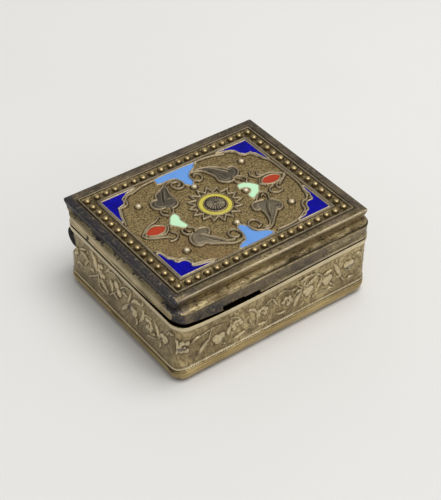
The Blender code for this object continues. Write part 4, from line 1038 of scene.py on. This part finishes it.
FRONT_LEAVES = (
    (-18, 5, -17, 6.4, -15.4, 8.1, 1), (-11.3, 6.4, -11.1, 7.6, -10.6, 8.9, 0.8),
    (-10.2, 4.95, -8.8, 5, -7.2, 5.55, 0.6), (-4.5, 5.2, -3.4, 5, -2.2, 5.1, 0.5),
    (-7.1, 10.4, -5.5, 9.7, -4.7, 8, 0.7), (-5.9, 6.5, -6.3, 7.3, -6, 8, 0.6),
    (4, 5.2, 4.7, 6.7, 5.7, 8.4, 1), (4.1, 8.2, 4.9, 8.6, 5.8, 8.6, 0.4),
    (4.8, 9.8, 5.3, 9.4, 6, 8.8, 0.4), (6.5, 10.3, 6.3, 9.6, 6.1, 8.9, 0.45),
    (6.3, 8.7, 7.8, 9.3, 9.4, 10.3, 0.6), (5, 10.4, 7.2, 10.95, 9.4, 10.45, 0.42),
    (9.4, 10.4, 10, 9.9, 10.5, 9.1, 0.42), (10.5, 8.8, 10.1, 7.9, 9.5, 6.8, 0.75),
    (10.9, 9.2, 12.1, 9.5, 13.3, 9.6, 0.5), (6.2, 8.6, 6.6, 8.2, 7, 7.8, 0.4),
    (10.7, 9, 11, 8.6, 11.4, 8.2, 0.4), (13.3, 10.8, 14.3, 8.9, 15.1, 6.9, 1),
    (15.1, 6.9, 15.7, 6.1, 16.2, 5.1, 0.45), (13.8, 7.1, 14.5, 7.1, 15.2, 6.9, 0.4),
    (12.5, 6.8, 12.8, 6.2, 13.3, 5.7, 0.5), (12, 5.2, 12.8, 5.3, 13.5, 4.9, 0.45),
    (16.8, 5.3, 17.6, 5.6, 18.5, 5.4, 0.45), (18.5, 10.3, 19.4, 10.4, 20.1, 9.9, 0.6),
    (-1.2, 10.2, -0.6, 8.9, 0.3, 7.3, 0.5), (-19.4, 9, -18.4, 9.6, -17.2, 9.8, 0.5),
    (-0.2, 5.6, 0.9, 5.2, 2, 5.4, 0.5),
)
FRONT_STEMS = (
    (-18.6, 9.3, -16.4, 9.9, -14.2, 10.25, -12.4, 10.1), (-15.5, 8, -15.2, 8.9, -14.9, 10), (-4.7, 8,
    -4.5, 6.8, -4.8, 5.5), (-6.6, 10, -5, 9, -4.3, 7.2), (8.6, 5.4, 10.2, 5.6, 12, 5.25), (0.3, 10.2,
    1.6, 10.4, 3.2, 9.6, 4.6, 9.6), (-10.6, 10.4, -9.6, 10.2, -8.7, 9.4), (-2.4, 9.6, -1.4, 9.9,
    -0.6, 9.4),
)
FRONT_BLOOMS = (
    (-20.7, 8.5, 1.45, "ring"), (-13.3, 6.7, 1.45, "heart"), (-9.2, 8.0, 1.4, "ring"), (-3.5, 7.9, 1.4, "ring"),
    (2.3, 7.4, 1.35, "ring"), (7.4, 7.15, 1.3, "heart"), (11.9, 7.5, 1.3, "heart"), (17.1, 8.5, 1.3, "heart"),
    (8.6, 5.4, 0.35, "bud"), (-6.2, 7.4, 0.3, "bud"), (9.4, 10.4, 0.32, "bud"), (-12.1, 4.9, 0.3, "bud"),
)
SIDE_LEAVES = (
    (-13.4, 10, -12.3, 10.3, -11.1, 10.9, 0.45), (-13.2, 9.5, -11.8, 9.5, -10.4, 9, 0.7),
    (-10.5, 9, -11.3, 8.3, -11.9, 7.2, 0.55), (-9.4, 12, -8.3, 10.3, -7.6, 8.4, 1.2),
    (-10, 7.6, -9.3, 8.1, -8.4, 8, 0.6), (-6.9, 7.6, -5.4, 7.2, -3.9, 6.1, 1),
    (-4.5, 10.3, -3.8, 11, -3.2, 11.9, 0.5), (-3.3, 9.8, -2.6, 8.8, -2.6, 7.3, 0.8),
    (-2.4, 7.5, -1.5, 7.4, -0.5, 7, 0.45), (0.4, 5.6, 1.7, 6.9, 2.8, 8.4, 0.95),
    (2.8, 8.4, 3.3, 9.8, 4.1, 11.5, 0.55), (1.1, 9.6, 1.8, 9.7, 2.5, 9.4, 0.6),
    (3.7, 9.2, 5.4, 10.3, 7.3, 10.6, 0.9), (7.3, 10.6, 7.6, 11.2, 7.6, 11.8, 0.4),
    (7.7, 10.2, 7.4, 8.5, 6.2, 6.6, 0.9), (5.5, 8.6, 5.3, 7.7, 5, 6.7, 0.6),
    (5, 5.2, 5.5, 6, 5.4, 6.9, 0.5), (11.3, 10.2, 12, 8.9, 12.4, 7.3, 0.9),
    (13.6, 9.2, 13, 8.3, 12.6, 7.3, 0.55), (12.5, 5.4, 12.9, 6.1, 12.9, 6.9, 0.5),
    (17, 10.2, 17.6, 8.8, 17.1, 6.8, 1), (-14.7, 6.2, -13.8, 6.9, -12.6, 6.8, 0.5),
)
SIDE_STEMS = (
    (-10.6, 5.8, -8.8, 7, -7.3, 8.2, -6.9, 9.4), (-3.4, 11, -1.6, 11.5, 0.6, 10.9), (-3.5, 6.2, -2.4, 7.3,
    -1.4, 8.2), (0.3, 9.9, 1.8, 11, 3.7, 11.4), (8, 9.2, 9, 9.7, 10.2, 9.8), (8.9, 5.5, 10.2, 5.9,
    11.6, 6.5), (-7.4, 6, -6, 5.5, -4.2, 5.8), (15.2, 10, 15.9, 10.9, 16.7, 10.7), (-7.1, 6.4, -7.3, 7.4,
    -7.2, 8.2),
)
SIDE_BLOOMS = (
    (-6.1, 9.5, 1.4, "ring"), (-1.1, 9.7, 0.85, "bud"), (-0.3, 8.6, 0.85, "bud"), (4.5, 7.6, 1.1, "heart"),
    (9.3, 8.1, 1.4, "ring"), (11.0, 7.2, 0.4, "bud"), (14.2, 8.3, 1.1, "heart"), (-15.2, 8.8, 1.1, "ring"),
    (16.3, 10.8, 0.35, "bud"),
)


def bezier(a, b, c, steps=8):
    a, b, c = (np.array(p, dtype=float) for p in (a, b, c))
    t = np.linspace(0, 1, steps + 1)[:, None]
    middle = 2 * b - (a + c) / 2
    return (1 - t) ** 2 * a + 2 * t * (1 - t) * middle + t ** 2 * c


def leaf_stroke(field, path, width, rise):
    w, d, share = field.distance(path, width)
    half = width / 2 * np.sin(np.pi * np.clip(share, 0.02, 0.98)) ** 0.65
    on = np.clip(1 - (d / np.maximum(half, 1e-3)) ** 2, 0, 1)
    vein = 0.09 * smooth_step(0.11 - d, 0, 0.1) * (width > 0.7)
    field.raise_to(w, rise * on ** 0.6 - vein * (on > 0.1))
    field.raise_mark("relief", w, smooth_step(on, 0, 0.4))
    shade = smooth_step(half + 0.25 - d, 0, 0.13) * (d > half)
    field.raise_mark("foot", w, shade * (half > 0.1))


def bloom(field, x, y, radius, rise, kind):
    """A blossom of soft lobes: a heart of three, a ring of five around an eye, or one round bud."""
    if kind == "heart":
        lobes = [(-0.42, 0.3, 0.62), (0.42, 0.3, 0.62), (-0.05, -0.3, 0.62)]
    elif kind == "ring":
        turns = (x + 2 * math.pi * k / 6 for k in range(5))
        lobes = [(0.66 * math.cos(a), 0.66 * math.sin(a), 0.4) for a in turns]
        lobes.append((0.0, -0.05, 0.24))
    else:
        lobes = [(0.0, 0.0, 1.0)]
    path = np.array([(x, y), (x + 1e-4, y)])
    w, far, _ = field.distance(path, radius * 1.6)
    lift = np.zeros_like(far)
    gap = np.full_like(far, 9.0)
    for u, v, share in lobes:
        d = np.hypot(field.x[w] - x - u * radius, field.y[w] - y - v * radius)
        lift = np.maximum(lift, np.clip(1 - (d / (share * radius)) ** 2, 0, 1) ** 0.6)
        gap = np.minimum(gap, d - share * radius)
    field.raise_to(w, rise * lift)
    field.raise_mark("relief", w, smooth_step(-gap, 0.0, 0.2))
    shade = smooth_step(0.27 - gap, 0, 0.13) * (gap > -0.04)
    field.raise_mark("foot", w, shade)


def wrap(s, half_x, half_y, radius, arc, flats):
    """Places along the wall turned into x and y and the wall's outward direction."""
    x, y, nx, ny = (np.zeros_like(s) for _ in range(4))
    at = -arc / 2
    for k in range(5):
        sign_x, sign_y = ((-1, -1), (1, -1), (1, 1), (-1, 1))[k % 4]
        centre = (sign_x * (half_x - radius), BODY_CY + sign_y * (half_y - radius))
        start_angle = (180, 270, 0, 90)[k % 4]
        here = (s >= at) & (s < at + arc)
        angle = np.radians(start_angle + 90 * ((s - at) / arc))
        x = np.where(here, centre[0] + radius * np.cos(angle), x)
        y = np.where(here, centre[1] + radius * np.sin(angle), y)
        nx, ny = np.where(here, np.cos(angle), nx), np.where(here, np.sin(angle), ny)
        at += arc
        if k < 4:
            here = (s >= at) & (s < at + flats[k])
            end = math.radians(start_angle + 90)
            along = (-math.sin(end), math.cos(end))
            x0, y0 = centre[0] + radius * math.cos(end), centre[1] + radius * math.sin(end)
            x = np.where(here, x0 + along[0] * (s - at), x)
            y = np.where(here, y0 + along[1] * (s - at), y)
            nx, ny = np.where(here, math.cos(end), nx), np.where(here, math.sin(end), ny)
            at += flats[k]
    return x, y, nx, ny


def make_frieze():
    """The chased walls: leaves, stems and blossoms on three sides and a beaded line above the foot."""
    half_x, half_y = BODY_W / 2 - WALL_INSET, BODY_D / 2 - WALL_INSET
    radius = CORNER_R - WALL_INSET
    arc = radius * math.pi / 2
    flat_x, flat_y = 2 * (half_x - radius), 2 * (half_y - radius)
    length = 2 * (flat_x + flat_y) + 4 * arc
    field = Field(0, length, FRIEZE_LOW, FRIEZE_HIGH, 0.13)
    # The painted shadow lines along the frieze's ornament are kept lighter than the panel's
    field.depth = 0.5
    starts = {"front": arc / 2, "right": arc / 2 + flat_x + arc, "back": arc / 2 + flat_x + 2 * arc + flat_y,
              "left": arc / 2 + 2 * flat_x + 3 * arc + flat_y}
    runs = {"front": flat_x, "right": flat_y, "back": flat_x, "left": flat_y}
    for side, start in starts.items():
        middle = start + runs[side] / 2
        if side == "back":
            continue
        leaves, stems, blooms = (SIDE_LEAVES, SIDE_STEMS, SIDE_BLOOMS)
        if side == "front":
            leaves, stems, blooms = (FRONT_LEAVES, FRONT_STEMS, FRONT_BLOOMS)
        for stem in stems:
            field.wire(curve_points(np.reshape(stem, (-1, 2)) + (middle, 0), 4), 0.32, 0.24, 0.2)
        for *path, width in leaves:
            leaf_stroke(field, bezier(*(np.reshape(path, (3, 2)) + (middle, 0))), width, 0.36)
        for u, v, size, kind in blooms:
            bloom(field, middle + u, v, size, 0.32, kind)
    s = field.x
    edge = smooth_step(field.y, 3.8, 4.1) * (1 - smooth_step(field.y, FRIEZE_HIGH - 0.25, FRIEZE_HIGH))
    line = np.sqrt(np.clip(1 - ((field.y - 3.4) / 0.3) ** 2, 0, 1))
    dots = 0.5 + 0.5 * np.cos(2 * math.pi * s / 0.56)
    on_front = (s > arc / 2 - 1) & (s < arc / 2 + flat_x * 0.62)
    worn = np.where(on_front, smooth_step(np.sin(s * 0.9) + np.sin(s * 2.3 + 1), -1.6, -0.6), 0.3)
    worn = worn * (1 - np.exp(-((s - arc / 2 - 4.9) / 0.5) ** 2))
    out = 0.02 + field.height * edge + line * (0.2 + 0.14 * dots * worn)
    # A painted highlight on the dots of the beaded line
    field.raise_mark("bright", ..., smooth_step(line, 0.3, 0.8) * (0.15 + 0.85 * dots) * worn)
    field.raise_mark("relief", ..., 0.7 * smooth_step(line, 0.2, 0.7))
    # Painted shade in the grooves above and below the beaded line
    above = smooth_step(0.2 - np.abs(field.y - 3.78), 0, 0.12)
    below = smooth_step(0.14 - np.abs(field.y - 3.04), 0, 0.1)
    field.raise_mark("hollow", ..., np.maximum(0.4 * above, 0.55 * below))
    rng = np.random.default_rng(11)
    rough = np.zeros_like(out)
    for scale, amount in ((3, 0.018), (1, 0.012)):
        noise = rng.standard_normal(out.shape)
        kernel = np.ones(scale) / scale
        noise = np.apply_along_axis(lambda row: np.convolve(row, kernel, "same"), 0, noise)
        noise = np.apply_along_axis(lambda row: np.convolve(row, kernel, "same"), 1, noise)
        rough += amount * noise * scale
    strokes = np.zeros_like(out)
    noise = rng.standard_normal(out.shape)
    for k in range(5):
        strokes += np.roll(noise, (k, k), (0, 1)) / 5 ** 0.5
    rough += 0.022 * strokes
    out += rough * edge * (1 - 0.7 * np.clip(field.mark("relief"), 0, 1))
    # Painted shade in the pits of the tooled ground, a painted sheen on its peaks
    ground = smooth_step(-rough, 0.0, 0.07) * (1 - 0.75 * field.mark("relief")) * edge
    field.raise_mark("hollow", ..., 0.36 * ground)
    shine = smooth_step(rough, 0.03, 0.1) * edge
    field.raise_mark("bright", ..., 0.22 * shine)
    x, y, nx, ny = wrap(np.mod(s, length), half_x, half_y, radius, arc, (flat_x, flat_y, flat_x, flat_y))
    verts = settle_body(np.stack([x + nx * out, y + ny * out, field.y], axis=-1).reshape(-1, 3))
    near = np.hypot(verts[:, 1] - HINGE_Y, verts[:, 2] - HINGE_Z) < CHANNEL_R + 0.06
    mouth = np.hypot((verts[:, 1] - MOUTH_Y) / 1.34, (verts[:, 2] - MOUTH_Z) / 2.39) < 1
    near |= mouth & (verts[:, 0] < -20.0)
    faces = [face for face in field.faces() if not near[face].any()]
    return mesh_object("body_frieze", verts, faces, body_metal("frieze_metal", True), "box_body",
                       attributes=field.attributes())


def body_marks(p):
    x, y, z = p.T
    inside = (np.abs(x) < BODY_W / 2 - 0.8) & (np.abs(y - BODY_CY) < BODY_D / 2 - 0.8)
    shift = seam_shift(x, y)
    # Painted shade in the foot's grooves, the seam under the lid and inside the box
    hollow = np.where(np.abs(z - 2.5) < 0.14, 0.4, 0.0)
    hollow = np.where(np.abs(z - 3.0) < 0.06, 0.45, hollow)
    hollow = np.where(np.abs(z - shift - 13.02) < 0.05, 1.0, hollow)
    hollow = np.where(inside, np.maximum(hollow, 0.35), hollow)
    # A painted highlight on the rounded rim band
    bright = np.where((z - shift > 12.0) & (z - shift < 12.95) & ~inside, 0.38, 0.0)
    return {"hollow": hollow, "bright": bright, "relief": np.full(len(z), 0.3), "tarnish": np.zeros(len(z))}


def cylinder(x_low, x_high, radius, steps):
    return loft([upright_ring(x, radius, radius, steps) for x in (x_low, x_high)])


def hinge_mouth():
    """The oval mouth of the hinge channel in the wall at the back left corner."""
    return plain_cutter(*loft([upright_ring(x, 1.3, 2.35, 40, MOUTH_Y, MOUTH_Z) for x in (-24.0, -21.35)]))


def make_body():
    rings = []
    for step in range(9):
        angle = math.radians(90 * step / 8)
        rings.append(band(1.3 * (1 - math.sin(angle)), 2.1 * (1 - math.cos(angle))))
    rings += rings_of(band, (
        (0.0, 2.2), (0.05, 2.32), (0.2, 2.42), (0.24, 2.52), (0.18, 2.62), (0.04, 2.74), (0.02, 2.88), (0.12, 2.97),
        (0.32, 3.04), (0.32, 11.7), (0.24, 11.84), (0.1, 12.06), (0.03, 12.25), (0.0, 12.45), (0.0, 12.75),
        (0.04, 12.88), (0.1, 12.95), (0.16, 12.98), (0.3, 13.0), (1.2, 13.0), (1.2, 13.82), (1.26, 13.9),
        (1.74, 13.9), (1.8, 13.82), (1.8, 11.2), (1.2, 10.6), (1.2, 2.05), (1.4, 1.3), (1.85, 1.0),
    ))
    verts, faces = loft(rings)
    metal = body_metal("body_metal", False)
    obj = mesh_object("body_shell", settle_body(verts), faces, metal, "box_body")
    set_marks(obj, body_marks)
    # The channel's and mouth's cut faces are painted near-black as shade
    shadow = plain_metal("channel_shade", *HOLE_SHADE, 0.55, 0.1)
    cut(obj, plain_cutter(*cylinder(-30, 30, CHANNEL_R, 48)), mat=shadow)
    cut(obj, hinge_mouth(), mat=shadow)
    obj.data.set_sharp_from_angle(angle=math.radians(35))
    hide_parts("box_body")


def make_hinge():
    """The trough inside the body, the knuckles and the lid's hinge leaves."""
    metal = hinge_metal()
    dull = plain_metal("trough_metal", (0.1, 0.078, 0.045), (0.24, 0.19, 0.11), 0.45)
    # The trough's cut faces are painted near-black as shade
    shadow = plain_metal("mouth_shade", *HOLE_SHADE, 0.6, 0.1)
    verts, faces = cylinder(-24, 24, 3.3, 48)
    trough = mesh_object("hinge_trough", verts, faces, dull, "box_body")
    cut(trough, plain_cutter(*loft([band(0.6, 4.0), band(0.6, 15.0)])), "INTERSECT")
    cut(trough, plain_cutter(*cylinder(-30, 30, CHANNEL_R, 48)), mat=shadow)
    trough.data.set_sharp_from_angle(angle=math.radians(35))
    length = (2 * BARREL_HALF - (KNUCKLES - 1) * KNUCKLE_GAP) / KNUCKLES
    bore = 0.79
    for index in range(KNUCKLES):
        start = -BARREL_HALF + index * (length + KNUCKLE_GAP)
        end = start + length
        profile = ((start, bore), (start, 2.0), (start + 0.06, 2.14), (start + 0.2, BARREL_R),
                   (end - 0.2, BARREL_R), (end - 0.06, 2.14), (end, 2.0), (end, bore))
        verts, faces = closed_loft([upright_ring(x, radius, radius, KNUCKLE_STEPS) for x, radius in profile])
        body, slot = ("lid", "tarnished_gilt_silver") if index % 2 else ("box_body", "gilt_silver")
        obj = mesh_object(f"hinge_knuckle_{index + 1}", verts, faces, metal, body)
        obj.data.set_sharp_from_angle(angle=math.radians(40))
        if index % 2:
            outline = ((17.75, 10.75), (18.55, 10.75), (18.55, 15.2), (18.4, 15.4), (17.0, 15.4), (17.0, 13.55),
                       (17.75, 13.55))
            verts, faces = loft([[(x, y, z) for y, z in outline] for x in (start, end)])
            leaf = mesh_object(f"hinge_leaf_{index // 2 + 1}", verts, faces, metal, body, smooth=False)
            mod = leaf.modifiers.new("soft_edges", "BEVEL")
            mod.width = 0.0001
            mod.segments = 2


def dress_pin():
    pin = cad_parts["hinge_pin"]
    mat = plain_metal("pin_metal", (0.012, 0.011, 0.012), (0.03, 0.026, 0.024), 0.5, 0.1)
    for slot in pin.material_slots:
        slot.material = mat


def make_stage():
    n = Nodes("pale_floor")
    cloud = n.noise(9, 3, 0.5)
    colour = n.mix(n.span(cloud, 0.3, 0.7, 0.0, 1.0), (0.8, 0.79, 0.765), (0.78, 0.77, 0.745))
    n.set(color=colour, roughness=0.75)
    rows = [(-1.4, 0.0), (0.25, 0.0)]
    for step in range(1, 13):
        angle = math.radians(90 * step / 12)
        rows.append((0.25 + 0.5 * math.sin(angle), 0.5 - 0.5 * math.cos(angle)))
    rows.append((0.75, 1.6))
    turn = math.radians(37)
    verts, faces = [], []
    for along, z in rows:
        for side in (-1.6, 1.6):
            x = side * math.cos(turn) + along * math.sin(turn)
            y = -side * math.sin(turn) + along * math.cos(turn)
            verts.append((x, y, z))
    for i in range(len(rows) - 1):
        faces.append((2 * i, 2 * i + 1, 2 * i + 3, 2 * i + 2))
    mesh = bpy.data.meshes.new("backdrop")
    mesh.from_pydata(verts, [], faces)
    mesh.shade_smooth()
    mesh.materials.append(n.mat)
    link(bpy.data.objects.new("backdrop", mesh))


make_lid()
make_panel()
make_enamels()
make_beads()
make_body()
make_frieze()
make_hinge()
dress_pin()
make_stage()

area_light("overhead", (0.16, -0.12, 0.8), (0, 0, 0.01), (0.55, 0.55), 4.6, (1.0, 0.995, 0.98))
area_light("front_fill", (0.3, -0.7, 0.4), (0, 0, 0.01), (0.5, 0.4), 0.7, (1.0, 0.98, 0.95))
world = bpy.data.worlds.new("studio")
world.use_nodes = True
world.node_tree.nodes["Background"].inputs["Color"].default_value = (0.95, 0.97, 1.0, 1)
world.node_tree.nodes["Background"].inputs["Strength"].default_value = 0.42
bpy.context.scene.world = world
bpy.context.scene.view_settings.view_transform = "Standard"
